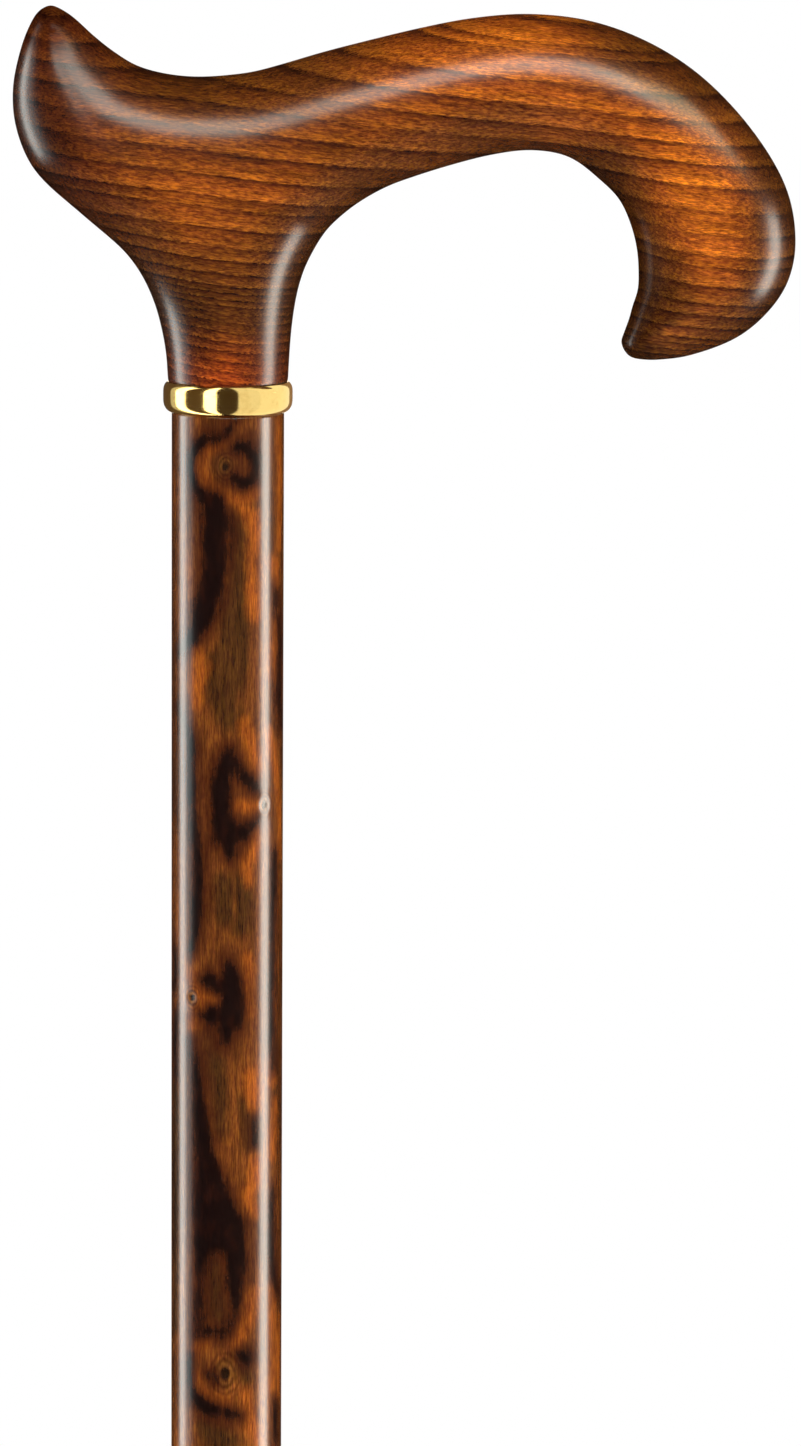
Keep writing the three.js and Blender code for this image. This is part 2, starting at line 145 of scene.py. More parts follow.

# How dark the handle is painted, as the flame's burn together with painted shade: along its rim, where the
# edges turn away from the lamps, and in soft places of (millimetres from the shaft's axis, millimetres above
# the seat, half width, half height, depth), where a positive depth is burn with painted shade, as inside the
# hook, and a negative depth is a lighter place of painted light, as on the crown of the grip
RIM_BURN_AND_SHADE = 1.3
RIM_BURN_AND_SHADE_WIDTH = 12.6
RIM_BURN_AND_SHADE_CURVE = 1.2
SOFT_FALL = 0.7
BURN_SHADE_AND_LIGHT_PLACES = [
    (-34, 48, 9, 13, 0.75), (-28, 56, 4, 7, 0.5), (-33, 39, 4, 5, 0.4), (-20, 42, 11, 10, 0.65),
    (-33, 66, 3, 3, 0.5), (-11, 34, 8, 7, -0.3), (-6, 36, 12, 8, 0.3), (-1, 49, 6, 3, 0.3),
    (3, 42, 9, 4, 0.35), (-1, 24, 16, 7, 0.45), (10, 31, 7, 6, 0.35), (-3, 14, 11, 7, 1.3),
    (-4, 3, 8, 4, 0.05), (15, 55, 7, 3, 0.4), (18, 42, 8, 5, 0.4), (9, 56, 14, 4, -0.2),
    (71, 60, 7, 4, 0.4), (25, 49, 14, 4, 0.25), (45, 63, 21, 5.5, -0.95), (53, 66, 9, 4, -0.4),
    (48, 51, 18, 4, 0.4), (59, 45, 7, 4, -0.35), (37, 40, 7, 3, -0.3), (67, 41, 5, 3, 0.4),
    (69, 33, 5, 8, 0.55), (76, 42, 5, 6, 0.25), (83, 38, 8, 11, -0.85), (85, 52, 6, 4, 0.45),
    (97, 28, 4, 14, 0.45), (93, 18, 5, 7, 0.3), (78, 20, 6, 10, 0.75), (72, 9, 4, 8, 0.9),
    (85, 13, 8, 5, 0.45),
]

# Where fingers and knocks have worn the lacquer, as soft places like those above with a share for the depth
WORN_PLACES = [(73.5, 22, 5, 13, 1.4), (-34, 67, 9, 5.5, 1.7)]

# The shaft's figure: strokes of (turn about the shaft in degrees from the front, drop below the shoulder in
# millimetres, half width in millimetres), and knots of (turn, drop, radius)
SCORCHES = [
    [(8, 0.2, 0.4), (2, 2.6, 0.5), (-10, 4.1, 0.7), (-24, 4.3, 0.9), (-34, 5.7, 0.9), (-40, 7.6, 0.7),
     (-41, 9.7, 0.7), (-38, 11.8, 0.9), (-31, 13.6, 1.1)],
    [(-27, 14, 1.3), (-16, 15.6, 2.3), (-12, 18.6, 2.6), (-12, 22.2, 2.4), (-13, 26, 2.2), (-16, 29.6, 2.2),
     (-19, 32.3, 2.3), (-26, 35.2, 2.2), (-30, 37.7, 2), (-36, 39.5, 1.5), (-46, 41.2, 1.1),
     (-60, 43, 0.7)],
    [(11, 5.4, 0.8), (20, 5.6, 1.3), (29, 7.4, 0.9), (31, 9.4, 0.8), (26, 11.5, 0.9), (17, 12.1, 1.1),
     (7, 11, 0.6)],
    [(58, 32, 0.4), (61, 34, 0.5)],
    [(68, 37, 0.4), (72, 42, 0.6), (68, 46, 0.6), (68, 51, 0.8), (74, 56, 0.7)],
    [(-62, 53, 0.5), (-46, 56.5, 0.6), (-41, 59, 0.9), (-40, 62, 1), (-40, 69, 1), (-37, 74.8, 1),
     (-33, 79, 1.1), (-32, 84.4, 1.1), (-33, 89, 1.1), (-35, 93, 0.9), (-40, 97, 0.5)],
    [(3, 60.6, 0.5), (-1, 63, 1.5), (-6, 66, 1.8), (-8, 69.5, 1.7), (-6, 73, 1.9), (0, 76, 2.1),
     (4, 78.8, 1)],
    [(5, 62.4, 1), (15, 65, 1.2), (27, 66.6, 0.8), (34, 67.2, 0.4)],
    [(4, 74.5, 1.8), (14, 75.2, 1.6), (24, 74.4, 1), (35, 73.3, 0.4)],
    [(59, 79.5, 0.4), (57, 85, 0.7), (55, 92, 0.8), (53, 99, 0.7), (52, 107, 0.7), (52, 113, 0.7),
     (56, 118, 0.4)],
    [(1, 98.8, 0.6), (4, 101.4, 1.8), (6, 104.4, 2.1), (6, 107.6, 2.2), (2, 110.2, 2), (0, 112.4, 0.9)],
    [(-28, 102, 0.5), (-18, 101.8, 1.2), (-6, 102.8, 1.9)],
    [(-26, 108.4, 0.7), (-16, 108.4, 1.5), (-5, 108.2, 2)],
    [(-70, 97, 0.5), (-66, 101, 0.6), (-73, 103.7, 0.4)],
    [(-66, 109, 0.5), (-68, 113, 0.9), (-68, 119, 0.7)],
    [(-43, 113.4, 0.5), (-36, 117, 0.8), (-32, 121.3, 1), (-30, 125, 1.3), (-27, 129, 1.7), (-25, 132.4, 2),
     (-22, 135.4, 2.5), (-19, 138, 2.9), (-15, 141.6, 3.5), (-12, 144.5, 4), (-9, 147, 4.2)],
    [(2, 147.2, 3.3), (8, 150.2, 2.2), (10, 154.6, 1.9), (10, 158.7, 1.3), (9, 161.6, 0.8), (7, 164.4, 0.5),
     (0, 166.1, 0.7), (-15, 165.7, 0.7), (-29, 166.1, 1)],
    [(-24, 148.5, 2), (-28, 153, 1), (-29, 158, 0.8), (-29, 163, 0.9), (-30, 166.2, 0.9)],
    [(-40, 170.5, 0.5), (-42, 175, 0.8), (-35, 177.8, 1.2), (-22, 179.6, 1.3), (-9, 180.1, 1.1),
     (4, 180.4, 0.9), (14, 181, 0.4)],
    [(15, 169.9, 0.7), (21, 170.5, 0.9)],
    [(-17, 173.4, 0.6), (-12, 174.4, 0.3)],
    [(57, 141, 0.4), (55, 145, 0.7), (54, 150, 0.9), (60, 156, 0.6), (68, 159.1, 0.4)],
    [(31, 128, 0.3), (31, 131, 0.4)],
    [(64, 180, 0.5), (64, 186, 0.7)],
]
GLOWS = [
    [(-7, 4.6, 0.5), (-22, 6, 0.7), (-31, 8, 0.7), (-29, 10.6, 0.9), (-20, 12.6, 0.8), (-6, 14.2, 0.8),
     (7, 15.2, 1), (19, 14.9, 1), (29, 13.6, 0.9)],
    [(14, 16.4, 0.9), (24, 18, 1.2), (28, 21, 1), (28, 26, 0.8), (27, 31.3, 1), (29, 36, 0.9)],
    [(52, 26.6, 0.8), (60, 27.5, 1.1), (62, 30.5, 0.9)],
    [(60, 38, 0.6), (57, 42, 0.9), (54, 47, 0.8)],
    [(-31, 42.6, 0.8), (-28, 45.5, 1.2), (-33, 49, 1.2), (-33, 52, 0.7)],
    [(18, 55.6, 0.7), (25, 58.4, 1), (28, 62, 1), (32, 64.5, 0.7)],
    [(47, 57.6, 0.7), (54, 60.6, 1.1), (58, 63.4, 0.9), (68, 68, 0.7)],
    [(10, 70.4, 0.7), (20, 70.6, 1.1), (31, 70.4, 1)],
    [(33, 75, 0.8), (28, 78, 1.1), (21, 80.8, 0.9), (23, 84, 0.5)],
    [(-39, 101, 0.7), (-31, 103, 0.7), (-28, 105.6, 0.8), (-31, 108.5, 0.8), (-38, 110.5, 0.6)],
    [(-22, 105, 0.6), (-15, 105.4, 0.5)],
    [(22, 98, 0.8), (21, 103, 0.9), (23, 108, 0.6)],
    [(26, 119.4, 1), (29, 122, 1.4), (30, 125, 0.9)],
    [(50, 117.6, 0.7), (56, 120.4, 0.9)],
    [(60, 125, 0.8), (59, 129, 1), (56, 134, 0.8)],
    [(29, 134.6, 0.7), (29, 138.4, 1), (20, 141.4, 1), (30, 144, 0.8)],
    [(28, 158.6, 0.9), (26, 162, 1.3), (19, 165, 1), (10, 167.8, 0.7)],
    [(55, 158, 0.6), (59, 162, 1), (60, 168, 0.8), (58, 176, 0.8)],
    [(-36, 170.5, 0.7), (-33, 168.6, 0.7), (-24, 168, 0.7)],
    [(-36, 173.6, 0.8), (-30, 176.2, 0.8), (-16, 177.6, 0.7), (2, 178.4, 0.6)],
    [(22, 177.4, 0.9), (27, 183, 1), (36, 186, 1)],
    [(66, 2, 0.8), (68, 12, 0.9), (67, 24, 0.7)],
    [(63, 64, 0.6), (70, 72, 0.8), (71, 80, 0.6)],
    [(71, 164, 0.8), (70, 178, 0.8)],
]
OLIVES = [
    [(9, 17.6, 0.9), (12, 21, 1.2), (13, 26, 1.5), (11, 31, 1.9), (7, 36, 2.3), (7, 41, 2.6), (3, 46, 2.8),
     (-6, 50, 2.6), (2, 55, 1.4)],
    [(-20, 44, 0.9), (-17, 49, 1.2)],
    [(16, 84, 1), (19, 88, 1.2), (14, 92, 1)],
    [(-4, 84, 1.2), (-2, 90, 1.4)],
    [(20, 124, 1), (26, 128, 1.6), (26, 131.4, 1.4)],
    [(-10, 117, 0.8), (-6, 123, 1), (-8, 129, 0.8)],
    [(-13, 150.6, 0.8), (-11, 155.7, 1.3), (-8, 160.2, 1.3), (-4, 164, 0.6)],
    [(16, 170, 1.3), (24, 173.8, 1.2)],
    [(-24, 183, 1.2), (-8, 185, 1.6), (8, 186, 1)],
    [(-68, 120, 0.8), (-68, 134, 1.2), (-68, 150, 1.2), (-68, 165, 1)],
]
KNOTS = [(-2, 9, 1.3), (42, 70.4, 1.3), (-38.5, 105.3, 1.2), (-0.5, 173.3, 2)]
FIGURE_LENGTH = 187
FIGURE_FAMILIES = 4
FIGURE_FAMILY_LENGTH = 47
FIGURE_STRETCHES = 5
FIGURE_SEED = 41
FIGURE_TURN_SHIFT = 24
FIGURE_DROP_SHIFT = 9
FAR_OFF = 5.0
MM_PER_DEGREE = math.radians(1) * SHAFT_TOP_RADIUS / MM

# Places of the growth rings' dark edges above the neck's seat, measured across the rings in millimetres
RING_EDGES = [
    -2, 0, 1.6, 3.3, 5.1, 7, 8.7, 10.4, 12.1, 13.6, 15, 16.1, 17.4, 18.6, 20.8, 23.3, 25.5, 28.8, 32.5,
    34.6, 38.5, 42.7, 46.9, 50.8, 54.2, 57.9, 62.1, 67.2, 68.5, 72.1, 75.5, 79,
]
RING_TILT = math.radians(6.8)


# Meshes

def add_object(name, data):
    made = bpy.data.objects.new(name, data)
    bpy.context.collection.objects.link(made)
    return made


def add_mesh(bm, name, material):
    """Turns a bmesh into an object of one material."""
    mesh = bpy.data.meshes.new(name)
    bm.to_mesh(mesh)
    bm.free()
    mesh.materials.append(material)
    return add_object(name, mesh)


def add_piece(bm, name, material, body, node):
    """Turns a bmesh into the piece that stands for a CAD node and rides on its body."""
    merge(bm)
    bmesh.ops.recalc_face_normals(bm, faces=bm.faces[:])
    for face in bm.faces:
        face.smooth = True
    piece = add_mesh(bm, name, material)
    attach(piece, body)
    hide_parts(node)
    return piece


def merge(bm):
    bmesh.ops.remove_doubles(bm, verts=bm.verts[:], dist=MERGE)


def lift(bm, height):
    bmesh.ops.translate(bm, verts=bm.verts[:], vec=(0, 0, height))


def turned(profile, sides, closed=False):
    """A bmesh of (radius, height) points spun about the Z axis."""
    bm = bmesh.new()
    corners = [bm.verts.new((radius, 0, height)) for radius, height in profile]
    pairs = list(zip(corners, corners[1:]))
    if closed:
        pairs.append((corners[-1], corners[0]))
    geom = corners + [bm.edges.new(pair) for pair in pairs]
    bmesh.ops.spin(
        bm, geom=geom, cent=(0, 0, 0), axis=(0, 0, 1), angle=2 * math.pi, steps=sides, use_merge=True)
    return bm


def soften(piece, width):
    """Rounds the sharp edges of a turned piece."""
    bevel = piece.modifiers.new("softened_edges", "BEVEL")
    bevel.width = width
    bevel.segments = 3
    bevel.limit_method = "ANGLE"
    bevel.angle_limit = SHARP_ANGLE
    bevel.harden_normals = True


def extruded(bm, edges):
    """The vertices and the edges of a loop's extruded copy."""
    made = bmesh.ops.extrude_edge_only(bm, edges=edges)["geom"]
    kinds = bmesh.types.BMVert, bmesh.types.BMEdge
    return [[item for item in made if isinstance(item, kind)] for kind in kinds]


def grow(bm, edges, radius, height):
    """Extrudes a loop of edges to a new radius about the Z axis and a height, and returns the new loop."""
    verts, loop = extruded(bm, edges)
    for vert in verts:
        vert.co = Vector((vert.co.x, vert.co.y, 0)).normalized() * radius
        vert.co.z = height
    return loop


def arc(centre, radius, start, end, steps):
    """Points of (radius, height) along an arc, with angles in degrees from the outward direction."""
    angles = [math.radians(start + (end - start) * i / steps) for i in range(steps + 1)]
    return [(centre[0] + radius * math.cos(angle), centre[1] + radius * math.sin(angle)) for angle in angles]


# Handle

class Line:
    """A centripetal Catmull-Rom line, read at a knot number that may lie between two knots."""

    def __init__(self, points):
        self.points = points

    def at(self, knot):
        last = len(self.points) - 1
        i = min(int(knot), last - 1)
        share = knot - i
        b, c = self.points[i], self.points[i + 1]
        a = self.points[i - 1] if i > 0 else b * 2 - c
        d = self.points[i + 2] if i + 2 <= last else c * 2 - b
        before, here, after = ((q - p).length ** 0.5 for p, q in ((a, b), (b, c), (c, d)))
        leave = ((b - a) / before - (c - a) / (before + here) + (c - b) / here) * here
        arrive = ((c - b) / here - (d - b) / (here + after) + (d - c) / after) * here
        square, cube = share**2, share**3
        return (
            b * (2 * cube - 3 * square + 1)
            + leave * (cube - 2 * square + share)
            + c * (3 * square - 2 * cube)
            + arrive * (cube - square)
        )


def spine_points():
    """The spine from the tail's tip to the hook's toe, with the half thickness as Y."""
    rise = HANDLE_RISE - GRIP_DEPTH / 2
    points = []
    for (across, up), _, _, fullness in BODY_SECTIONS:
        reach = TAIL_REACH if across < 0 else HOOK_REACH
        points.append(Vector((across * reach, fullness * GRIP_THICKNESS / 2, SEAT_Z + up * rise)))
    return points


def rim_off(point, share):
    return Vector((point.x + share[0] * GRIP_DEPTH, 0, point.z + share[1] * GRIP_DEPTH))


def neck_stops(side, crook_height):
    """Stops down one side of the neck, from the crook to the seat."""
    stops = []
    for i, (_, left, right, _) in enumerate(NECK_SECTIONS):
        height, flare = left if side < 0 else right
        across = side * (NECK_RADIUS + flare * GRIP_DEPTH)
        stops.append({"rim": Vector((across, 0, SEAT_Z + height * crook_height)), "neck": i + 1})
    return stops


def body_stops(spine, side, first, last):
    rows = BODY_SECTIONS[first:last]
    return [{"rim": rim_off(spine[first + i], row[side]), "spine": first + i} for i, row in enumerate(rows)]


def rim_stops(spine, crook_height):
    """The rim's loop from the seat, round the tail, the grip and the hook, and back to the seat."""
    count = len(BODY_SECTIONS)
    left, right = (
        {"rim": rim_off(spine[BRANCH], share), "spine": BRANCH, "neck": 0}
        for share in (LEFT_CROOK_SHARE, RIGHT_CROOK_SHARE)
    )
    return [
        *reversed(neck_stops(-1, crook_height)),
        left,
        *reversed(body_stops(spine, LOWER, 0, BRANCH)),
        *({"rim": rim_off(spine[0], share), "spine": 0} for share in TAIL_TIP_SHARES),
        *body_stops(spine, UPPER, 0, count),
        *({"rim": rim_off(spine[-1], share), "spine": count - 1} for share in HOOK_TOE_SHARES),
        *reversed(body_stops(spine, LOWER, BRANCH + 1, count)),
        right,
        *neck_stops(1, crook_height),
    ]


def handle_stations():
    """Pairs of a rim point and the ridge point that its section of the flank ends on."""
    spine = spine_points()
    crook_height = spine[BRANCH].z - SEAT_Z + LEFT_CROOK_SHARE[1] * GRIP_DEPTH
    spare = GRIP_THICKNESS / 2 - NECK_RADIUS
    neck = [spine[BRANCH]]
    for up, _, _, fullness in NECK_SECTIONS:
        neck.append(Vector((0, NECK_RADIUS + fullness * spare, SEAT_Z + up * crook_height)))
    stops = rim_stops(spine, crook_height)
    lines = {"spine": Line(spine), "neck": Line(neck)}
    rim_line = Line([stop["rim"] for stop in stops])
    stations = []
    for i, (stop, following) in enumerate(zip(stops, stops[1:])):
        key = "spine" if "spine" in stop and "spine" in following else "neck"
        for step in range(STEPS_PER_SECTION):
            share = step / STEPS_PER_SECTION
            knot = stop[key] + (following[key] - stop[key]) * share
            stations.append((rim_line.at(i + share), lines[key].at(knot)))
    stations.append((stops[-1]["rim"], neck[-1]))
    return stations


def flank_point(rim, ridge, step):
    """The flank's point at a step from the rim, and how far in from the rim it lies."""
    width = math.hypot(ridge.x - rim.x, ridge.z - rim.z)
    rounding = min(width, EDGE_ROUNDING)
    turn = math.pi / 2 * step / FLANK_STEPS
    inward = 1 - math.cos(turn)
    to_core = max(0, 1 - inward * width / rounding)
    edge = math.sqrt(1 - to_core**2)
    point = rim.lerp(ridge, inward)
    point.y = ((1 - FLANK_CROWN_SHARE) * edge + FLANK_CROWN_SHARE * math.sin(turn)) * ridge.y
    return point, inward * width


def soft_places(point, places):
    """The sum of soft places at a point of the handle."""
    total = 0
    for across, up, half_width, half_height, amount in places:
        away = math.hypot((point.x / MM - across) / half_width, ((point.z - SEAT_Z) / MM - up) / half_height)
        total += amount * math.exp(-SOFT_FALL * away**2)
    return total


def burn_shade_and_light_depth(point, from_rim):
    """How dark a point of the handle is painted: the flame's burn with painted shade, or painted light where
    lighter.
    """
    to_rim = max(0, 1 - from_rim / MM / RIM_BURN_AND_SHADE_WIDTH)
    return RIM_BURN_AND_SHADE * to_rim**RIM_BURN_AND_SHADE_CURVE + soft_places(point, BURN_SHADE_AND_LIGHT_PLACES)


def handle_bmesh():
    """One flank grown from the rim's outline to the ridge, mirrored, with the seat and its bore."""
    bm = bmesh.new()
    station_of = bm.verts.layers.int.new("station")
    from_rim, burn_shade_and_light, worn = (bm.verts.layers.float.new(name) for name in ("from_rim", "burn_shade_and_light", "worn"))
    stations = handle_stations()
    outline = []
    for i, (rim, _) in enumerate(stations):
        vert = bm.verts.new(rim)
        vert[station_of] = i
        outline.append(vert)
    loop = [bm.edges.new(pair) for pair in zip(outline, outline[1:])]
    for step in range(1, FLANK_STEPS + 1):
        verts, loop = extruded(bm, loop)
        for vert in verts:
            vert.co, vert[from_rim] = flank_point(*stations[vert[station_of]], step)
    merge(bm)
    bmesh.ops.dissolve_degenerate(bm, edges=bm.edges[:], dist=MERGE)
    whole = bm.verts[:] + bm.edges[:] + bm.faces[:]
    bmesh.ops.mirror(bm, geom=whole, matrix=Matrix.Identity(4), merge_dist=MERGE, axis="Y")
    merge(bm)
    for vert in bm.verts:
        # The flame's burn with painted shade, and painted light where it is negative, stored on each vertex
        vert[burn_shade_and_light] = burn_shade_and_light_depth(vert.co, vert[from_rim])
        vert[worn] = min(1, soft_places(vert.co, WORN_PLACES))
    seat = [edge for edge in bm.edges if edge.is_boundary]
    lip = BROKEN_EDGE
    for vert in {vert for edge in seat for vert in edge.verts}:
        vert.co.z = SEAT_Z + lip
    seat_and_bore = [
        (NECK_RADIUS - 0.3 * lip, 0.3 * lip),
        (NECK_RADIUS - lip, 0),
        (NECK_RADIUS - 3 * lip, 0),
        (BORE_RADIUS + lip, 0),
        (BORE_RADIUS, lip),
        (BORE_RADIUS, 3 * lip),
        (BORE_RADIUS, BORE_DEPTH - BORE_POINT),
        (0, BORE_DEPTH),
    ]
    for radius, height in seat_and_bore:
        seat = grow(bm, seat, radius, SEAT_Z + height)
    return bm


# Collar, washer, screw and ferrule

COLLAR_BELLY_SHARE = 0.56
COLLAR_ROUNDNESS = 4
COLLAR_FOOT_RADIUS = SHAFT_TOP_RADIUS + 0.5 * MM
COLLAR_TOP_RADIUS = NECK_RADIUS + 0.1 * MM
COLLAR_STEPS = 24
TURNED_SIDES = 128
WASHER_SIDES = 96


def collar_bmesh():
    """The ring with a shallow belly from rim to rim."""
    bore = SPIGOT_RADIUS + CLEARANCE
    belly = COLLAR_HEIGHT * COLLAR_BELLY_SHARE
    profile = [(bore, 0)]
    for i in range(COLLAR_STEPS + 1):
        height = COLLAR_HEIGHT * i / COLLAR_STEPS
        below = height < belly
        rim = COLLAR_FOOT_RADIUS if below else COLLAR_TOP_RADIUS
        reach = belly if below else COLLAR_HEIGHT - belly
        drop = abs((height - belly) / reach) ** COLLAR_ROUNDNESS
        profile.append((COLLAR_BELLY_RADIUS - (COLLAR_BELLY_RADIUS - rim) * drop, height))
    profile.append((bore, COLLAR_HEIGHT))
    bm = turned(profile, TURNED_SIDES, closed=True)
    lift(bm, SHOULDER_Z)
    return bm


def washer_bmesh():
    bottom, top = WASHER_LOW.z, WASHER_HIGH.z
    return turned([(0, bottom), (WASHER_RADIUS, bottom), (WASHER_RADIUS, top), (0, top)], WASHER_SIDES)


SCREW_CORE_SHARE = 0.7
SCREW_TIP_SHARE = 0.2
SCREW_PLAIN_LENGTH = 7 * MM
SCREW_POINT_LENGTH = 6 * MM
SCREW_SIDES = 32
SCREW_RINGS = 220
THREAD_PITCH = 3.6 * MM
THREAD_SHARPNESS = 1.6


def screw_radius(height, angle):
    """A pointed core with a wood thread on both ends and a plain middle."""
    from_end = SCREW_LENGTH / 2 - abs(height)
    point = min(1, SCREW_TIP_SHARE + (1 - SCREW_TIP_SHARE) * from_end / SCREW_POINT_LENGTH)
    if abs(height) <= SCREW_PLAIN_LENGTH / 2:
        return SCREW_RADIUS
    phase = (height / THREAD_PITCH - angle / (2 * math.pi)) % 1
    crest = abs(2 * phase - 1) ** THREAD_SHARPNESS
    return SCREW_RADIUS * (SCREW_CORE_SHARE + (1 - SCREW_CORE_SHARE) * crest) * point


def screw_bmesh():
    """A circle grown up the screw's length, with the thread cut into the rings."""
    bm = bmesh.new()
    bottom = -SCREW_LENGTH / 2
    bmesh.ops.create_circle(bm, segments=SCREW_SIDES, radius=SCREW_RADIUS)
    loop = bm.edges[:]
    lift(bm, bottom)
    for i in range(1, SCREW_RINGS + 1):
        loop = grow(bm, loop, SCREW_RADIUS, bottom + SCREW_LENGTH * i / SCREW_RINGS)
    for vert in bm.verts:
        angle = math.atan2(vert.co.y, vert.co.x)
        radius = screw_radius(vert.co.z, angle)
        vert.co.x = radius * math.cos(angle)
        vert.co.y = radius * math.sin(angle)
    bmesh.ops.holes_fill(bm, edges=bm.edges[:], sides=0)
    lift(bm, (SCREW_LOW.z + SCREW_HIGH.z) / 2)
    return bm


FERRULE_BASE_HEIGHT = 6 * MM
FERRULE_FLARE_HEIGHT = 10 * MM
FERRULE_FLARE_STEPS = 12
FERRULE_BEND_OUT = 0.28
FERRULE_BEND_UP = 0.22
FERRULE_EDGE_ROUNDING = 1.6 * MM
FERRULE_WALL = 2.6 * MM
FERRULE_LIP_SHARE = 0.3
RIB_COUNT = 3
RIB_PROUD = 0.9 * MM
RIB_HEIGHT = 2.4 * MM
RIBBED_SHARE = 0.6
TREAD_DISC_RADIUS = 4 * MM
TREAD_GROOVE_COUNT = 3
TREAD_GROOVE_WIDTH = 1.6 * MM
TREAD_GROOVE_DEPTH = 1.4 * MM


def ferrule_profile():
    """The sole with its grooves, the rounded base, the hollow flare, the ribbed sleeve and the socket."""
    socket = WASHER_RADIUS + CLEARANCE
    sleeve = socket + FERRULE_WALL
    edge = FERRULE_RADIUS - FERRULE_EDGE_ROUNDING
    pitch = (edge - TREAD_DISC_RADIUS) / TREAD_GROOVE_COUNT
    profile = [(0, 0)]
    for i in range(TREAD_GROOVE_COUNT):
        inner = TREAD_DISC_RADIUS + i * pitch
        outer = inner + TREAD_GROOVE_WIDTH
        profile += [(inner, 0), (inner, TREAD_GROOVE_DEPTH), (outer, TREAD_GROOVE_DEPTH), (outer, 0)]
    profile += arc((edge, FERRULE_EDGE_ROUNDING), FERRULE_EDGE_ROUNDING, -90, 0, 8)
    flare_top = FERRULE_BASE_HEIGHT + FERRULE_FLARE_HEIGHT
    bend_radius = sleeve + (FERRULE_RADIUS - sleeve) * FERRULE_BEND_OUT
    bend_height = FERRULE_BASE_HEIGHT + FERRULE_FLARE_HEIGHT * FERRULE_BEND_UP
    for i in range(FERRULE_FLARE_STEPS + 1):
        share = i / FERRULE_FLARE_STEPS
        start, middle, end = (1 - share) ** 2, 2 * share * (1 - share), share**2
        profile.append((
            start * FERRULE_RADIUS + middle * bend_radius + end * sleeve,
            start * FERRULE_BASE_HEIGHT + middle * bend_height + end * flare_top,
        ))
    rib_pitch = (FERRULE_HEIGHT - flare_top) * RIBBED_SHARE / RIB_COUNT
    slope = RIB_HEIGHT / 4
    for i in range(RIB_COUNT, 0, -1):
        bottom = FERRULE_HEIGHT - i * rib_pitch
        profile += [(sleeve, bottom), (sleeve + RIB_PROUD, bottom + slope)]
        profile += [(sleeve + RIB_PROUD, bottom + RIB_HEIGHT - slope), (sleeve, bottom + RIB_HEIGHT)]
    lip = FERRULE_WALL * FERRULE_LIP_SHARE
    profile += arc((sleeve - lip, FERRULE_HEIGHT - lip), lip, 0, 90, 5)
    profile += arc((socket + lip, FERRULE_HEIGHT - lip), lip, 90, 180, 5)
    profile += [(socket, SOLE_THICKNESS), (0, SOLE_THICKNESS)]
    return profile


# Shaft

SHAFT_SIDES = 96
RING_GAP_AT_KNOTS = 0.5
RING_GAP_IN_FIGURE = 1.1
RING_GAP_BELOW = 2.2
RING_MARGIN = 0.3 * MM
KNOT_STRETCH = 1.25
KNOT_REACH = 4

# The eye and the swelling round a knot: height in millimetres, and place and width in the knot's radii
KNOT_EYE = (-0.22, 0, 0.4)
KNOT_SWELLING = (0.06, 1.1, 0.5)
KNOT_RELIEF_REACH = 3


def echo(strokes, dice):
    """The photographed strokes again round the back and down the rest of the shaft, shuffled by family."""
    copies = []
    for (stretch, side), moves in dice.items():
        for stroke in strokes:
            family = min(int(stroke[0][1] // FIGURE_FAMILY_LENGTH), FIGURE_FAMILIES - 1)
            turn_shift, drop_shift = moves["shifts"][family]
            copy = []
            for turn, drop, width in stroke:
                along = drop if moves["down"] else FIGURE_LENGTH - drop
                copy.append((
                    side + moves["hand"] * turn + turn_shift,
                    stretch * FIGURE_LENGTH + along + drop_shift,
                    width,
                ))
            copies.append(copy)
    return copies


def throw_dice():
    """Seeded turns and shifts for every echo of the figure."""
    rng = random.Random(FIGURE_SEED)
    dice = {}
    for stretch in range(FIGURE_STRETCHES):
        for side in (0, 180):
            if (stretch, side) == (0, 0):
                continue
            shifts = [
                (rng.uniform(-FIGURE_TURN_SHIFT, FIGURE_TURN_SHIFT), rng.uniform(0, FIGURE_DROP_SHIFT))
                for _ in range(FIGURE_FAMILIES)
            ]
            dice[stretch, side] = {"hand": rng.choice((-1, 1)), "down": rng.random() < 0.5, "shifts": shifts}
    return dice


def legs_of(strokes):
    return [pair for stroke in strokes for pair in zip(stroke, stroke[1:])]


def outside(turn, drop, legs):
    """How far a place on the shaft lies outside the nearest leg of the strokes, in millimetres."""
    nearest = FAR_OFF
    for start, end in legs:
        across = math.remainder(turn - start[0], 360) * MM_PER_DEGREE
        along = drop - start[1]
        run_across = math.remainder(end[0] - start[0], 360) * MM_PER_DEGREE
        run_along = end[1] - start[1]
        length = run_across**2 + run_along**2
        share = max(0, min(1, (across * run_across + along * run_along) / length))
        gap = math.hypot(across - share * run_across, along - share * run_along)
        nearest = min(nearest, gap - start[2] - share * (end[2] - start[2]))
    return nearest


def near(legs, drop):
    """The legs that reach within twice the far-off distance of a drop."""
    reach = 2 * FAR_OFF
    return [
        (start, end)
        for start, end in legs
        if min(start[1], end[1]) - reach < drop < max(start[1], end[1]) + reach
    ]


def ring_heights(knots):
    """Heights of the shaft's rings from the tip to the shoulder, close together at the knots."""
    heights = []
    height = TIP_Z + SHAFT_TIP_CHAMFER
    while height < SHOULDER_Z - RING_MARGIN:
        heights.append(height)
        drop = (SHOULDER_Z - height) / MM
        gap = RING_GAP_IN_FIGURE if drop < FIGURE_LENGTH else RING_GAP_BELOW
        if min(abs(drop - knot[1]) for knot in knots) < KNOT_REACH:
            gap = RING_GAP_AT_KNOTS
        height += gap * MM
    return heights


def shaft_radius(height):
    share = (height - TIP_Z) / (SHOULDER_Z - TIP_Z)
    return SHAFT_TIP_RADIUS + (SHAFT_TOP_RADIUS - SHAFT_TIP_RADIUS) * share


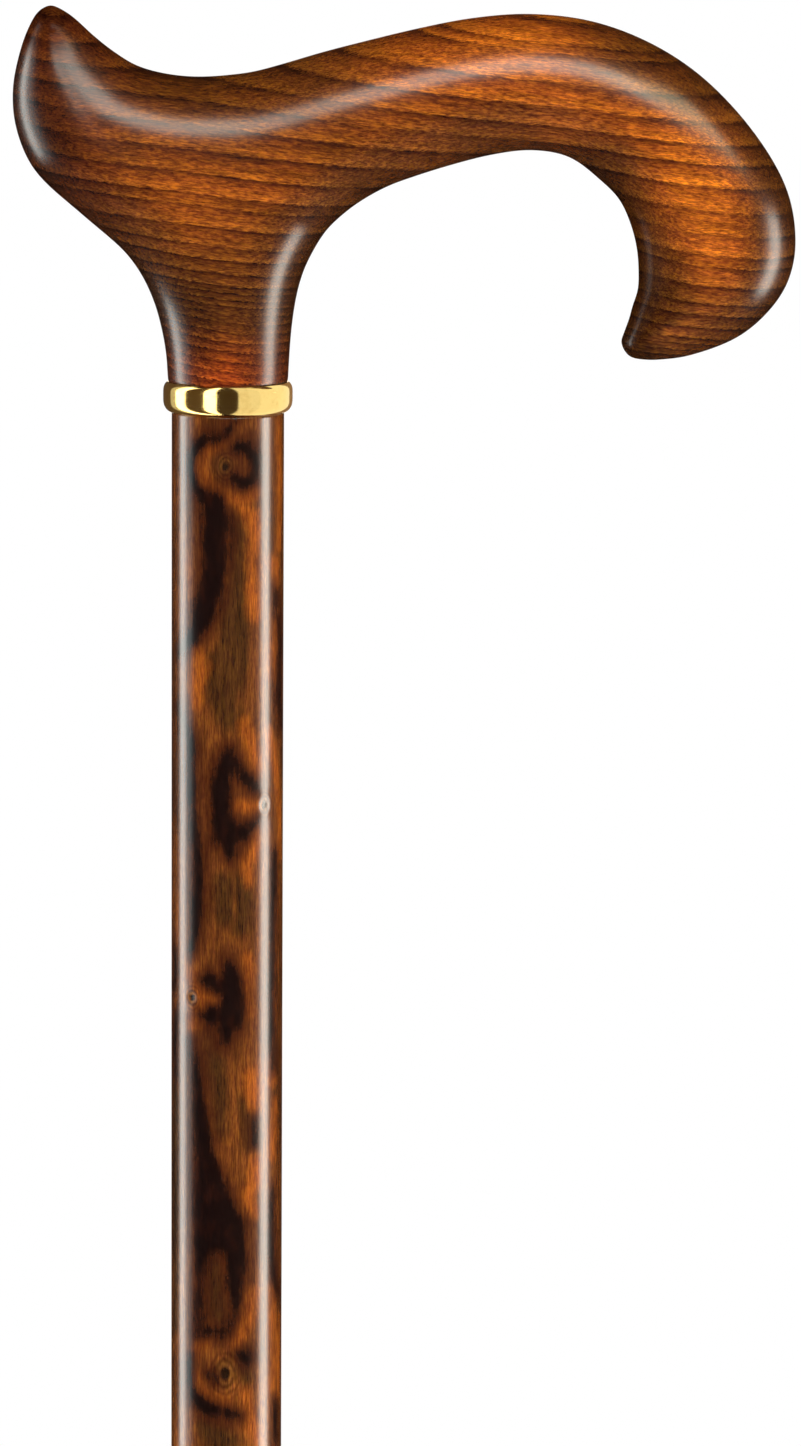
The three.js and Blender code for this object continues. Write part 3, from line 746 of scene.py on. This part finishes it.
def shaft_bmesh():
    """The stick spun from its profile, with its figure stored on the vertices and its knots pressed in."""
    dice = throw_dice()
    strokes = {"scorch": SCORCHES, "glow": GLOWS, "olive": OLIVES}
    layers = {name: legs_of(drawn + echo(drawn, dice)) for name, drawn in strokes.items()}
    knots = KNOTS + [stroke[0] for stroke in echo([[knot] for knot in KNOTS], dice)]
    spigot_top = SEAT_Z - SPIGOT_SHORTFALL
    edge = BROKEN_EDGE
    bm = turned([
        (0, TIP_Z),
        (SHAFT_TIP_RADIUS - SHAFT_TIP_CHAMFER, TIP_Z),
        *((shaft_radius(height), height) for height in ring_heights(knots)),
        (SHAFT_TOP_RADIUS, SHOULDER_Z - edge),
        (SHAFT_TOP_RADIUS - edge, SHOULDER_Z),
        (SPIGOT_RADIUS, SHOULDER_Z),
        (SPIGOT_RADIUS, spigot_top - edge),
        (SPIGOT_RADIUS - edge, spigot_top),
        (BORE_RADIUS, spigot_top),
        (BORE_RADIUS, SEAT_Z - BORE_DEPTH + BORE_POINT),
        (0, SEAT_Z - BORE_DEPTH),
    ], SHAFT_SIDES)
    merge(bm)
    stores = {name: bm.verts.layers.float.new(name) for name in layers}
    knot_store = bm.verts.layers.float.new("knot")
    rows = {}
    for vert in bm.verts:
        rows.setdefault(round(vert.co.z, 5), []).append(vert)
    for height, row in rows.items():
        drop = (SHOULDER_Z - height) / MM
        close = {name: near(legs, drop) for name, legs in layers.items()}
        for vert in row:
            turn = math.degrees(math.atan2(vert.co.x, -vert.co.y))
            for name, store in stores.items():
                vert[store] = outside(turn, drop, close[name])
            vert[knot_store] = knot_distance(turn, drop, knots)
            press_knot(vert, vert[knot_store])
    return bm


def knot_distance(turn, drop, knots):
    """Distance from the nearest knot's eye, in the knot's own radii, drawn out along the grain."""
    nearest = FAR_OFF
    for knot_turn, knot_drop, radius in knots:
        along = (drop - knot_drop) / KNOT_STRETCH
        if abs(along) < FAR_OFF * radius:
            across = math.remainder(turn - knot_turn, 360) * MM_PER_DEGREE
            nearest = min(nearest, math.hypot(across, along) / radius)
    return nearest


def press_knot(vert, away):
    """Presses the eye of a knot in and lifts the ring of wood round it."""
    radius = math.hypot(vert.co.x, vert.co.y)
    if radius < SPIGOT_RADIUS or away > KNOT_RELIEF_REACH:
        return
    shapes = (KNOT_EYE, KNOT_SWELLING)
    relief = sum(height * math.exp(-(((away - place) / width) ** 2)) for height, place, width in shapes)
    share = 1 + relief * MM / radius
    vert.co.x *= share
    vert.co.y *= share


# Shader nodes

def colour(red, green, blue):
    """A linear colour from the values of a picture, 0 to 255."""
    parts = []
    for value in (red, green, blue):
        part = value / 255
        parts.append(part / 12.92 if part <= 0.04045 else ((part + 0.055) / 1.055) ** 2.4)
    return (*parts, 1)


class Signal:
    """A node's output, which sums, differences, products and quotients turn into maths nodes."""

    def __init__(self, socket):
        self.socket = socket
        self.tree = socket.id_data

    def __add__(self, other):
        return maths("ADD", self, other)

    def __sub__(self, other):
        return maths("SUBTRACT", self, other)

    def __rsub__(self, other):
        return maths("SUBTRACT", other, self)

    def __mul__(self, other):
        return maths("MULTIPLY", self, other)

    def __rtruediv__(self, other):
        return maths("DIVIDE", other, self)


def feed(made, inputs):
    """Gives a node's inputs, by name or number, their values or signals."""
    for key, value in dict(inputs).items():
        if isinstance(value, Signal):
            made.id_data.links.new(value.socket, made.inputs[key])
        else:
            made.inputs[key].default_value = value


def new_node(tree, kind, inputs=(), **settings):
    """Adds a node with its settings and inputs."""
    made = tree.nodes.new(kind)
    for key, value in settings.items():
        setattr(made, key, value)
    feed(made, inputs)
    return made


def output(tree, kind, inputs=(), key=0, **settings):
    """One output of a new node."""
    return Signal(new_node(tree, kind, inputs, **settings).outputs[key])


def outputs(made):
    return {socket.name: Signal(socket) for socket in made.outputs}


def joined(kind, values, **settings):
    """The output of a new node that takes values in order, in the tree of the first signal among them."""
    tree = next(value.tree for value in values if isinstance(value, Signal))
    return output(tree, kind, enumerate(values), **settings)


def maths(operation, *values):
    """A maths node for numbers, or for vectors where a value is one."""
    vectors = any(isinstance(value, Signal) and value.socket.type == "VECTOR" for value in values)
    return joined("ShaderNodeVectorMath" if vectors else "ShaderNodeMath", values, operation=operation)


def vector(*parts):
    return joined("ShaderNodeCombineXYZ", parts)


def coordinates(point):
    return outputs(new_node(point.tree, "ShaderNodeSeparateXYZ", {0: point}))


def distance(point):
    return output(point.tree, "ShaderNodeVectorMath", {0: point}, "Value", operation="LENGTH")


def mapped(value, low, high, to_low=0.0, to_high=1.0, smooth=True):
    """The value's place between low and high, clamped."""
    kind = "SMOOTHSTEP" if smooth else "LINEAR"
    inputs = {"Value": value, "From Min": low, "From Max": high, "To Min": to_low, "To Max": to_high}
    return output(value.tree, "ShaderNodeMapRange", inputs, "Result", interpolation_type=kind)


def noise(point, scale, detail=3.0, roughness=0.5):
    inputs = {"Vector": point, "Scale": scale, "Detail": detail, "Roughness": roughness}
    return output(point.tree, "ShaderNodeTexNoise", inputs, "Fac")


def mixed(tree, factor, first, second, blend="MIX"):
    """One colour mixed into another by a factor."""
    inputs = {0: factor, 6: first, 7: second}
    return output(tree, "ShaderNodeMix", inputs, 2, data_type="RGBA", blend_type=blend)


def multiplied(first, second):
    return mixed(first.tree, 1.0, first, second, "MULTIPLY")


def ramp(factor, stops):
    """A colour ramp of (place, colour) stops."""
    made = new_node(factor.tree, "ShaderNodeValToRGB", {"Fac": factor})
    elements = made.color_ramp.elements
    elements[0].position, elements[0].color = stops[0]
    elements[1].position, elements[1].color = stops[-1]
    for place, tone in stops[1:-1]:
        elements.new(place).color = tone
    return Signal(made.outputs["Color"])


def tinted(tone, amount):
    """A colour made lighter or darker by an amount."""
    return mixed(amount.tree, 1.0, tone, joined("ShaderNodeCombineColor", [amount] * 3), "MULTIPLY")


def group(name, inputs, results):
    """An empty shader node group, the signals that it is given and its output node."""
    tree = bpy.data.node_groups.new(name, "ShaderNodeTree")
    for label in inputs:
        kind = "NodeSocketVector" if label == "Point" else "NodeSocketFloat"
        tree.interface.new_socket(label, in_out="INPUT", socket_type=kind)
    for label in results:
        tree.interface.new_socket(label, in_out="OUTPUT", socket_type="NodeSocketFloat")
    return tree, outputs(tree.nodes.new("NodeGroupInput")), tree.nodes.new("NodeGroupOutput")


def placed(shared, point, amounts):
    """A shared group placed in a material at a point or on a mask, with the material's own values."""
    made = new_node(point.tree, "ShaderNodeGroup", amounts, node_tree=shared)
    feed(made, {0: point})
    return outputs(made)


def fibre_group():
    """Wood fibre that runs along Z: broad streaks, fine threads and short dark pores, in millimetres."""
    sizes = ["Streak width", "Streak length", "Pore amount"]
    tones = ["Streak dark", "Streak light", "Thread dark", "Thread light", "Pore tone"]
    results = ["Streaks", "Threads", "Tone", "Relief"]
    tree, given, result = group("wood fibre", ["Point"] + sizes + tones, results)
    across = 1.0 / given["Streak width"]
    along = 1.0 / given["Streak length"]
    drawn = given["Point"] * vector(across, across, along)
    limit = 0.8 - given["Pore amount"]
    streaks = noise(drawn, 1.0, 3.0, 0.6)
    threads = noise(drawn, 3.7, 3.0, 0.65)
    pores = mapped(noise(drawn + (31.0, 17.0, 5.0), 5.5, 2.0), limit, limit + 0.07)
    tone = mapped(streaks, 0.3, 0.7, given["Streak dark"], given["Streak light"])
    tone = tone * mapped(threads, 0.35, 0.65, given["Thread dark"], given["Thread light"])
    tone = tone * mapped(pores, 0, 1, 1.0, given["Pore tone"])
    feed(result, {"Streaks": streaks, "Threads": threads, "Tone": tone, "Relief": threads - pores})
    return tree


def gilding_group():
    """Factors of green and blue that make bright fibres more golden and dark ones more purple."""
    ends = ["Green dark", "Green bright", "Blue dark", "Blue bright"]
    tree, given, result = group("gilding", ["Sheen"] + ends, ["Green", "Blue"])
    feed(result, {
        part: mapped(given["Sheen"], 0.35, 0.65, given[part + " dark"], given[part + " bright"])
        for part in ("Green", "Blue")
    })
    return tree


def turning_group():
    """Fine lines left round a turned piece by the tool."""
    tree, given, result = group("turning lines", ["Point", "Fineness"], ["Lines"])
    parts = coordinates(given["Point"])
    radius = distance(vector(parts["X"], parts["Y"], 0.0))
    feed(result, {"Lines": noise(vector(radius, 0.0, parts["Z"]), given["Fineness"], 3.0, 0.6)})
    return tree


def tarnish_group():
    """Patches where a metal has dulled, from the noise value at which they start up to an amount."""
    tree, given, result = group("tarnish", ["Point", "Fineness", "Start", "Amount"], ["Mask"])
    patches = noise(given["Point"], given["Fineness"], 4.0, 0.6)
    feed(result, {"Mask": mapped(patches, given["Start"], given["Start"] + 0.35, 0.0, given["Amount"])})
    return tree


def handling_group():
    """The uneven gloss of a surface that is handled, with haze in patches."""
    tree, given, result = group("handled gloss", ["Point", "Roughness", "Haze", "Patch size"], ["Roughness"])
    patches = noise(given["Point"], 1.0 / given["Patch size"], 4.0, 0.6)
    feed(result, {"Roughness": given["Roughness"] + mapped(patches, 0.35, 0.75) * given["Haze"]})
    return tree


FIBRE = fibre_group()
GILDING = gilding_group()
TURNING = turning_group()
TARNISH = tarnish_group()
HANDLING = handling_group()


def gilded(base, sheen, green, blue):
    """Wood whose bright fibres are more golden and whose dark ones are more purple."""
    ends = {"Green dark": green[0], "Green bright": green[1], "Blue dark": blue[0], "Blue bright": blue[1]}
    factors = placed(GILDING, sheen, ends)
    return multiplied(base, joined("ShaderNodeCombineColor", (1.0, factors["Green"], factors["Blue"])))


def handled(point, roughness, haze, patch_size):
    """The roughness of a surface that is handled."""
    amounts = {"Roughness": roughness, "Haze": haze, "Patch size": patch_size}
    return placed(HANDLING, point, amounts)["Roughness"]


def tarnished(point, fineness, start, amount):
    """How far a metal has dulled."""
    return placed(TARNISH, point, {"Fineness": fineness, "Start": start, "Amount": amount})["Mask"]


def turning_lines(point, fineness):
    return placed(TURNING, point, {"Fineness": fineness})["Lines"]


def material(name):
    """A new node material: its tree, its Principled shader and the object's place."""
    made = bpy.data.materials.new(name)
    made.use_nodes = True
    tree = made.node_tree
    return made, tree, tree.nodes["Principled BSDF"], output(tree, "ShaderNodeTexCoord", key="Object")


def in_millimetres(place, turn=0.0, height=0.0):
    """The place in millimetres from a height on the axis, turned about Y."""
    move = -(Matrix.Rotation(turn, 3, "Y") @ Vector((0, 0, height))) / MM
    inputs = {"Vector": place, "Location": move, "Rotation": (0, turn, 0), "Scale": (1 / MM,) * 3}
    return output(place.tree, "ShaderNodeMapping", inputs)


def attribute(tree, name):
    return output(tree, "ShaderNodeAttribute", key="Fac", attribute_name=name)


def bump(height, strength, depth):
    """The normal of a relief of so many millimetres."""
    inputs = {"Height": height, "Strength": strength, "Distance": depth * MM}
    return output(height.tree, "ShaderNodeBump", inputs, "Normal")


# Materials

def ring_phase(across):
    """Counts the growth rings: a whole number at each dark edge, and a share of the ring in between."""
    first, last = RING_EDGES[0], RING_EDGES[-1]
    place = mapped(across, first, last, smooth=False)
    made = new_node(across.tree, "ShaderNodeFloatCurve", {"Value": place})
    curve = made.mapping.curves[0]
    rings = len(RING_EDGES) - 1
    for i, edge in enumerate(RING_EDGES):
        at = ((edge - first) / (last - first), i / rings)
        if i in (0, rings):
            point = curve.points[0 if i == 0 else -1]
            point.location = at
        else:
            point = curve.points.new(*at)
        point.handle_type = "VECTOR"
    made.mapping.update()
    return Signal(made.outputs[0]) * float(rings)


def flamed_beech():
    """Stained beech with its growth rings burnt in, dark towards the edges with burn and painted shade,
    lighter in places with painted light, under a satin lacquer.
    """
    made, tree, shader, place = material("flamed_beech")
    grain = in_millimetres(place, -RING_TILT, SEAT_Z)
    parts = coordinates(grain)
    along = vector(parts["Z"], parts["Y"], parts["X"])
    fibre = placed(FIBRE, along, {
        "Streak width": 0.85, "Streak length": 8.0, "Pore amount": 0.2, "Streak dark": 0.72,
        "Streak light": 1.24, "Thread dark": 0.56, "Thread light": 1.42, "Pore tone": 0.5})
    fleck = noise(along * (2.6, 2.6, 0.8), 1.0, 2.0, 0.6)
    waver = noise(grain * (0.5, 1.0, 1.0), 0.045, 2.0)
    ripple = noise(grain * (0.3, 0.6, 0.5), 0.9, 2.0)
    bow = maths("POWER", maths("ABSOLUTE", parts["Y"]), 2.0) * 0.004
    across = parts["Z"] + bow + (waver - 0.5) * 1.8 + (ripple - 0.5) * 0.3 + (fibre["Threads"] - 0.5) * 0.9
    phase = ring_phase(across)
    ring = maths("FLOOR", phase)
    ring_tone = output(tree, "ShaderNodeTexWhiteNoise", {"W": ring}, "Value", noise_dimensions="1D")

    wood = ramp(maths("FRACT", phase), [
        (0.0, colour(122, 57, 20)), (0.035, colour(170, 84, 26)), (0.1, colour(230, 123, 34)),
        (0.28, colour(226, 118, 32)), (0.45, colour(196, 98, 29)), (0.78, colour(174, 84, 26)),
        (0.92, colour(128, 59, 21)), (1.0, colour(110, 51, 18))])
    faint = noise(grain * (0.3, 1.0, 0.8), 0.16, 2.0)
    plain = maths("MAXIMUM", mapped(faint, 0.42, 0.66, 0.0, 0.6), mapped(parts["Z"], 4, 26, 0.2, 0.0))
    wood = mixed(tree, plain, wood, colour(192, 97, 29))
    tone = mapped(ring_tone, 0, 1, 0.84, 1.08) * mapped(fleck, 0.36, 0.64, 0.74, 1.27) * fibre["Tone"]
    sheen = fleck * 0.5 + fibre["Threads"] * 0.5
    base = gilded(tinted(wood, tone), sheen, (0.87, 1.13), (1.35, 0.6))

    smoke = noise(grain * (0.45, 1.0, 1.0), 0.07, 3.0)
    # Darkening by the flame's burn and painted shade, and lightening by painted light where the stored depth
    # is negative
    depth = (smoke - 0.5) * 0.9 + attribute(tree, "burn_shade_and_light")
    base = multiplied(base, ramp(mapped(depth, -0.4, 2.0, smooth=False), [
        (0.0, (1, 1.02, 0.96, 1)), (0.167, (0.76, 0.74, 0.84, 1)), (0.333, (0.52, 0.52, 0.68, 1)),
        (0.5, (0.33, 0.37, 0.57, 1)), (0.667, (0.22, 0.26, 0.47, 1)), (0.833, (0.145, 0.18, 0.38, 1)),
        (1.0, (0.1, 0.13, 0.3, 1))]))
    neck_red = mapped(parts["Z"], 2.0, 14.0, 0.85, 0.0)
    tail_red = mapped(parts["X"], -36.0, -16.0, 0.6, 0.0)
    reddened = multiplied(base, (1.15, 0.72, 0.9, 1))

    feed(shader, {
        "Base Color": mixed(tree, maths("MAXIMUM", neck_red, tail_red), base, reddened),
        "Roughness": handled(grain, 0.42, 0.12, 9.0),
        "Normal": bump(fibre["Relief"], 0.25, 0.05),
        "Specular IOR Level": 0.0,
        "Coat Weight": mapped(attribute(tree, "worn"), 0.0, 1.0, 1.0, 0.12),
        "Coat Roughness": 0.27,
        "Coat IOR": 1.5,
        "Coat Normal": bump(fleck, 0.12, 0.1),
    })
    return made


def knotty_hardwood():
    """A peeled, scorched and stained stick with knots, under a gloss lacquer."""
    made, tree, shader, place = material("knotty_hardwood")
    point = in_millimetres(place, height=SHOULDER_Z)
    fibre = placed(FIBRE, point, {
        "Streak width": 0.55, "Streak length": 8.0, "Pore amount": 0.17, "Streak dark": 0.66,
        "Streak light": 1.3, "Thread dark": 0.58, "Thread light": 1.38, "Pore tone": 0.55})
    cloud = noise(point * (1.0, 1.0, 0.3), 0.11, 3.0, 0.55)
    drift = noise(point * (1.0, 1.0, 0.45), 0.42, 3.0, 0.6)
    speck = noise(point * (1.0, 1.0, 0.6), 1.9, 2.0, 0.6)
    wander = (drift - 0.5) * 2.4 + (speck - 0.5) * 1.1 + (fibre["Streaks"] - 0.5) * 0.8

    def stained(base, name, inner, outer, strength, tone):
        """Mixes in the stain that is stored on the shaft as a distance from its strokes."""
        mask = mapped(attribute(tree, name) + wander, outer, inner)
        return mixed(tree, mask * strength, base, tone)

    base = ramp(cloud, [
        (0.3, colour(78, 40, 18)), (0.42, colour(100, 52, 21)), (0.55, colour(122, 64, 25)),
        (0.7, colour(150, 80, 30))])
    base = stained(base, "olive", -0.9, 2.2, 0.8, colour(62, 38, 17))
    base = stained(base, "glow", -1.0, 1.6, 0.78, colour(180, 90, 26))
    eye = attribute(tree, "knot")
    rings = maths("SINE", ((drift - 0.5) * 0.9 + eye) * (2 * math.pi * 1.9))
    tone = fibre["Tone"] * (rings * mapped(eye, 0.6, 2.4, 1.0, 0.0) * 0.42 + 1.0)
    base = mixed(tree, mapped(eye, 0.5, 1.5, 0.6, 0.0), base, colour(104, 66, 28))
    base = gilded(tinted(base, tone), fibre["Threads"], (0.9, 1.14), (1.25, 0.75))
    base = stained(base, "scorch", 0.2, 3.4, 0.72, colour(62, 24, 11))
    char = mixed(tree, mapped(drift, 0.48, 0.7), colour(20, 9, 8), colour(38, 15, 9))
    char = tinted(char, mapped(fibre["Threads"], 0.35, 0.65, 0.8, 1.3))
    base = stained(base, "scorch", -1.0, 1.0, 0.96, char)

    feed(shader, {
        "Base Color": mixed(tree, mapped(eye, 0.25, 0.6, 0.9, 0.0), base, colour(22, 13, 8)),
        "Roughness": handled(point, 0.45, 0.1, 12.0),
        "Normal": bump(fibre["Relief"], 0.2, 0.05),
        "Specular IOR Level": 0.0,
        "Coat Weight": 1.0,
        "Coat Roughness": 0.22,
        "Coat IOR": 1.6,
    })
    return made


def polished_brass():
    """Brass turned and polished, with faint turning lines and a trace of tarnish."""
    made, tree, shader, place = material("polished_brass")
    point = in_millimetres(place, height=SHOULDER_Z)
    tarnish = tarnished(point, 0.5, 0.45, 0.35)
    feed(shader, {
        "Base Color": mixed(tree, tarnish, colour(246, 214, 132), colour(214, 168, 84)),
        "Roughness": handled(point, 0.1, 0.05, 2.5),
        "Normal": bump(turning_lines(point, 9.0), 0.12, 0.02),
        "Metallic": 1.0,
    })
    return made


def plated_steel(name, tint):
    """Bright plated steel with turning lines and dull patches."""
    made, tree, shader, place = material(name)
    point = in_millimetres(place)
    feed(shader, {
        "Base Color": mixed(tree, tarnished(point, 0.35, 0.4, 0.5), tint, colour(150, 148, 142)),
        "Roughness": handled(point, 0.24, 0.18, 4.0),
        "Normal": bump(turning_lines(point, 5.0), 0.3, 0.03),
        "Metallic": 1.0,
    })
    return made


def moulded_rubber():
    """Dull black rubber with a fine moulded grain, scuffed and dusty near the floor."""
    made, tree, shader, place = material("ferrule_rubber")
    point = in_millimetres(place)
    pebble = noise(point, 3.2, 3.0, 0.6)
    scuff = noise(point * (1.0, 1.0, 2.2), 0.55, 4.0, 0.65)
    worn = mapped(scuff, 0.5, 0.68) * mapped(coordinates(point)["Z"], 0.0, 9.0, 0.75, 0.06)
    base = mixed(tree, mapped(pebble, 0.3, 0.7), colour(33, 32, 31), colour(44, 43, 42))
    feed(shader, {
        "Base Color": mixed(tree, worn, base, colour(104, 99, 92)),
        "Roughness": mapped(worn, 0.0, 1.0, 0.62, 0.9),
        "Normal": bump(pebble, 0.35, 0.12),
        "Specular IOR Level": 0.4,
    })
    return made


# Pieces

handle = add_piece(handle_bmesh(), "beech_handle", flamed_beech(), "cane", "handle")
surface = handle.modifiers.new("rounded_surface", "SUBSURF")
surface.levels = 1
surface.render_levels = 1
collar = add_piece(collar_bmesh(), "brass_collar", polished_brass(), "cane", "collar")
soften(collar, 0.12 * MM)
add_piece(shaft_bmesh(), "knotty_shaft", knotty_hardwood(), "cane", "shaft")
screw_steel = plated_steel("screw_steel", colour(208, 206, 196))
add_piece(screw_bmesh(), "steel_dowel_screw", screw_steel, "cane", "dowel_screw")
ferrule_mesh = turned(ferrule_profile(), TURNED_SIDES)
ferrule = add_piece(ferrule_mesh, "rubber_ferrule", moulded_rubber(), "foot", "ferrule")
soften(ferrule, 0.25 * MM)
washer_steel = plated_steel("washer_steel", colour(202, 204, 208))
washer = add_piece(washer_bmesh(), "steel_washer", washer_steel, "foot", "ferrule_washer")
soften(washer, 0.2 * MM)


# Floor, dark tent, lamps and camera

FLOOR_RADIUS = 30.0
TENT_RADIUS = 2.4
TENT_LOW = -0.05
TENT_HIGH = 3.4
CAMERA_DISTANCE = 5.0
CAMERA_RISE = math.radians(6.5)
CAMERA_ROLL = math.radians(0.135)
CAMERA_TARGET = Vector((31.16 * MM, 0, 795.62 * MM))
FRAME_HEIGHT = 260.3 * MM
SENSOR = 36.0
LIT_POINT = Vector((0, 0, 870 * MM))

# Fill lamps, which light the matt part: name, azimuth, elevation, distance, size, radiance
FILLS = [
    ("front_fill", 0, 12, 1.3, (2.2, 2.2), 1.8),
    ("back_fill", 180, 12, 1.3, (2.2, 2.2), 1.6),
    ("left_fill", -90, 10, 1.3, (1.2, 2.0), 0.7),
    ("right_fill", 90, 10, 1.3, (1.2, 2.0), 1.5),
    ("top_fill", 0, 90, 1.3, (1.6, 1.6), 0.9),
]

# Strip lamps, which only the lacquer reflects, with a tint after the radiance
STRIPS = [
    ("left_strip", -105, 0, 1.3, (0.44, 1.3), 7.1, (0.98, 1, 0.94)),
    ("left_spill", -87, 0, 1.3, (0.38, 1.3), 1.5, (0.78, 1, 1.02)),
    ("right_strip", 85, -16.2, 1.3, (0.47, 1.05), 10.5, (1, 0.95, 0.84)),
    ("top_strip", 6, 39, 1.5, (1.2, 0.68), 7.0, (0.95, 1, 0.9)),
    ("shoulder_strip", 50, 36, 1.5, (1.05, 0.5), 6.2, (1, 1, 0.68)),
]

COLLAR_CARD_DISTANCE = 0.06
COLLAR_CARD_HEIGHT = 1.0
WARM_WHITE = (1, 0.98, 0.93)
CREAM = (1, 0.98, 0.95)
AMBER = (1, 0.64, 0.4)

# Cards round the collar: from and to an azimuth in degrees, radiance, tint, the outward lean of either end
COLLAR_CARDS = [
    (-160, -114, 0.1, AMBER, 0),
    (-114, -98, 0.6, WARM_WHITE, 0),
    (-98, -75, 4, WARM_WHITE, 2),
    (-75, -39, 0.09, AMBER, 0),
    (-39, -18, 3.6, WARM_WHITE, 4),
    (-18, 17.4, 0.05, AMBER, 0),
    (17.4, 55, 0.98, CREAM, 0),
    (55, 93, 1.1, CREAM, 0),
    (93, 133, 1.16, CREAM, 0),
    (133, 165, 0.3, AMBER, 0),
    (165, 195, 1.6, WARM_WHITE, 0),
]


def stage_material(name):
    """A new material without its shader: its tree, its output node and the material."""
    made = bpy.data.materials.new(name)
    made.use_nodes = True
    tree = made.node_tree
    tree.nodes.remove(tree.nodes["Principled BSDF"])
    return tree, tree.nodes["Material Output"], made


def floor_material():
    """A pale floor that keeps the cane's shadow, turns white further off and is clear from below."""
    tree, out, made = stage_material("pale_floor")
    place = output(tree, "ShaderNodeTexCoord", key="Object")
    fade = mapped(distance(place), 0.25, 1.8, 0.35, 1.0)
    seen = output(tree, "ShaderNodeLightPath", key="Is Camera Ray")
    matt = output(tree, "ShaderNodeBsdfDiffuse", {"Color": (0.86, 0.86, 0.85, 1)})
    white = output(tree, "ShaderNodeEmission", {"Color": (1, 1, 1, 1), "Strength": 1.0})
    above = joined("ShaderNodeMixShader", (fade * seen, matt, white))
    below = output(tree, "ShaderNodeNewGeometry", key="Backfacing")
    clear = output(tree, "ShaderNodeBsdfTransparent")
    feed(out, {"Surface": joined("ShaderNodeMixShader", (below, above, clear))})
    return made


def add_floor():
    bm = bmesh.new()
    bmesh.ops.create_circle(bm, cap_ends=True, segments=96, radius=FLOOR_RADIUS)
    floor = add_mesh(bm, "floor", floor_material())
    floor.visible_glossy = False
    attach(floor, "foot")


def add_tent():
    """Black cloth round the set, which only reflections see, so that the lacquer keeps its depth."""
    bm = bmesh.new()
    bmesh.ops.create_cone(
        bm, cap_ends=True, segments=64, radius1=TENT_RADIUS, radius2=TENT_RADIUS, depth=TENT_HIGH - TENT_LOW)
    lift(bm, (TENT_LOW + TENT_HIGH) / 2)
    tree, out, made = stage_material("black_cloth")
    feed(out, {"Surface": output(tree, "ShaderNodeBsdfDiffuse", {"Color": (0.01, 0.01, 0.01, 1)})})
    tent = add_mesh(bm, "dark_tent", made)
    tent.visible_camera = False
    tent.visible_diffuse = False
    tent.visible_transmission = False
    tent.visible_shadow = False


def add_lamp(name, azimuth, elevation, away, size, radiance, tint=None):
    """A softbox round the handle, given by its radiance. Reflections alone see it if it has a tint."""
    data = bpy.data.lights.new(name, "AREA")
    data.shape = "RECTANGLE"
    data.size, data.size_y = size
    data.energy = radiance * math.pi * size[0] * size[1]
    data.color = tint or (1, 1, 1)
    lamp = add_object(name, data)
    turn, rise = math.radians(azimuth), math.radians(elevation)
    way = Vector((math.sin(turn) * math.cos(rise), -math.cos(turn) * math.cos(rise), math.sin(rise)))
    lamp.location = LIT_POINT + way * away
    lamp.rotation_mode = "QUATERNION"
    lamp.rotation_quaternion = way.to_track_quat("Z", "Y")
    lamp.visible_camera = False
    lamp.visible_diffuse = not tint
    lamp.visible_glossy = bool(tint)
    data.cycles.use_multiple_importance_sampling = bool(tint)
    return lamp


def link_light(lamp, piece, state):
    """Makes a lamp light one piece alone, or everything but that piece."""
    lit = bpy.data.collections.new(lamp.name + "_lights")
    lit.objects.link(piece)
    lamp.light_linking.receiver_collection = lit
    lit.collection_objects[0].light_linking.link_state = state


def add_collar_cards():
    """Reflecting cards close round the collar, which light it from rim to rim and nothing else."""
    middle = Vector((0, 0, (COLLAR_LOW.z + COLLAR_HIGH.z) / 2))
    for i, (start, end, radiance, tint, lean) in enumerate(COLLAR_CARDS):
        width = 2 * COLLAR_CARD_DISTANCE * math.tan(math.radians(end - start) / 2)
        halves = (-1, 1) if lean else (0,)
        size = (width, COLLAR_CARD_HEIGHT / len(halves))
        for half in halves:
            name = f"collar_card_{i}"
            card = add_lamp(name, (start + end) / 2, 0, COLLAR_CARD_DISTANCE, size, radiance, tint)
            turn = Quaternion((0, 0, 1), half * math.radians(lean))
            card.rotation_quaternion = card.rotation_quaternion @ turn
            up = card.rotation_quaternion @ Vector((0, 1, 0))
            card.location += middle - LIT_POINT + up * half * size[1] / 2
            link_light(card, collar, "INCLUDE")


def add_world():
    """White to the camera and to reflections. The lamps do the lighting."""
    world = bpy.data.worlds.new("white_studio")
    bpy.context.scene.world = world
    world.cycles.sampling_method = "NONE"
    world.use_nodes = True
    background = world.node_tree.nodes["Background"]
    path = outputs(new_node(world.node_tree, "ShaderNodeLightPath"))
    seen = maths("MAXIMUM", path["Is Camera Ray"], path["Is Glossy Ray"])
    seen = maths("MAXIMUM", seen, path["Is Transmission Ray"])
    feed(background, {"Color": (1, 1, 1, 1), "Strength": seen})


def add_camera():
    data = bpy.data.cameras.new("camera")
    data.sensor_width = SENSOR
    data.lens = SENSOR * CAMERA_DISTANCE / FRAME_HEIGHT
    data.clip_end = 100
    camera = add_object("camera", data)
    back = Vector((0, -math.cos(CAMERA_RISE), math.sin(CAMERA_RISE)))
    camera.location = CAMERA_TARGET + back * CAMERA_DISTANCE
    camera.rotation_mode = "QUATERNION"
    camera.rotation_quaternion = back.to_track_quat("Z", "Y") @ Quaternion((0, 0, 1), CAMERA_ROLL)
    bpy.context.scene.camera = camera


add_floor()
add_tent()
add_world()
add_camera()
for lamp_values in FILLS:
    add_lamp(*lamp_values)
for lamp_values in STRIPS:
    link_light(add_lamp(*lamp_values), collar, "EXCLUDE")
add_collar_cards()
bpy.context.scene.view_settings.view_transform = "Standard"
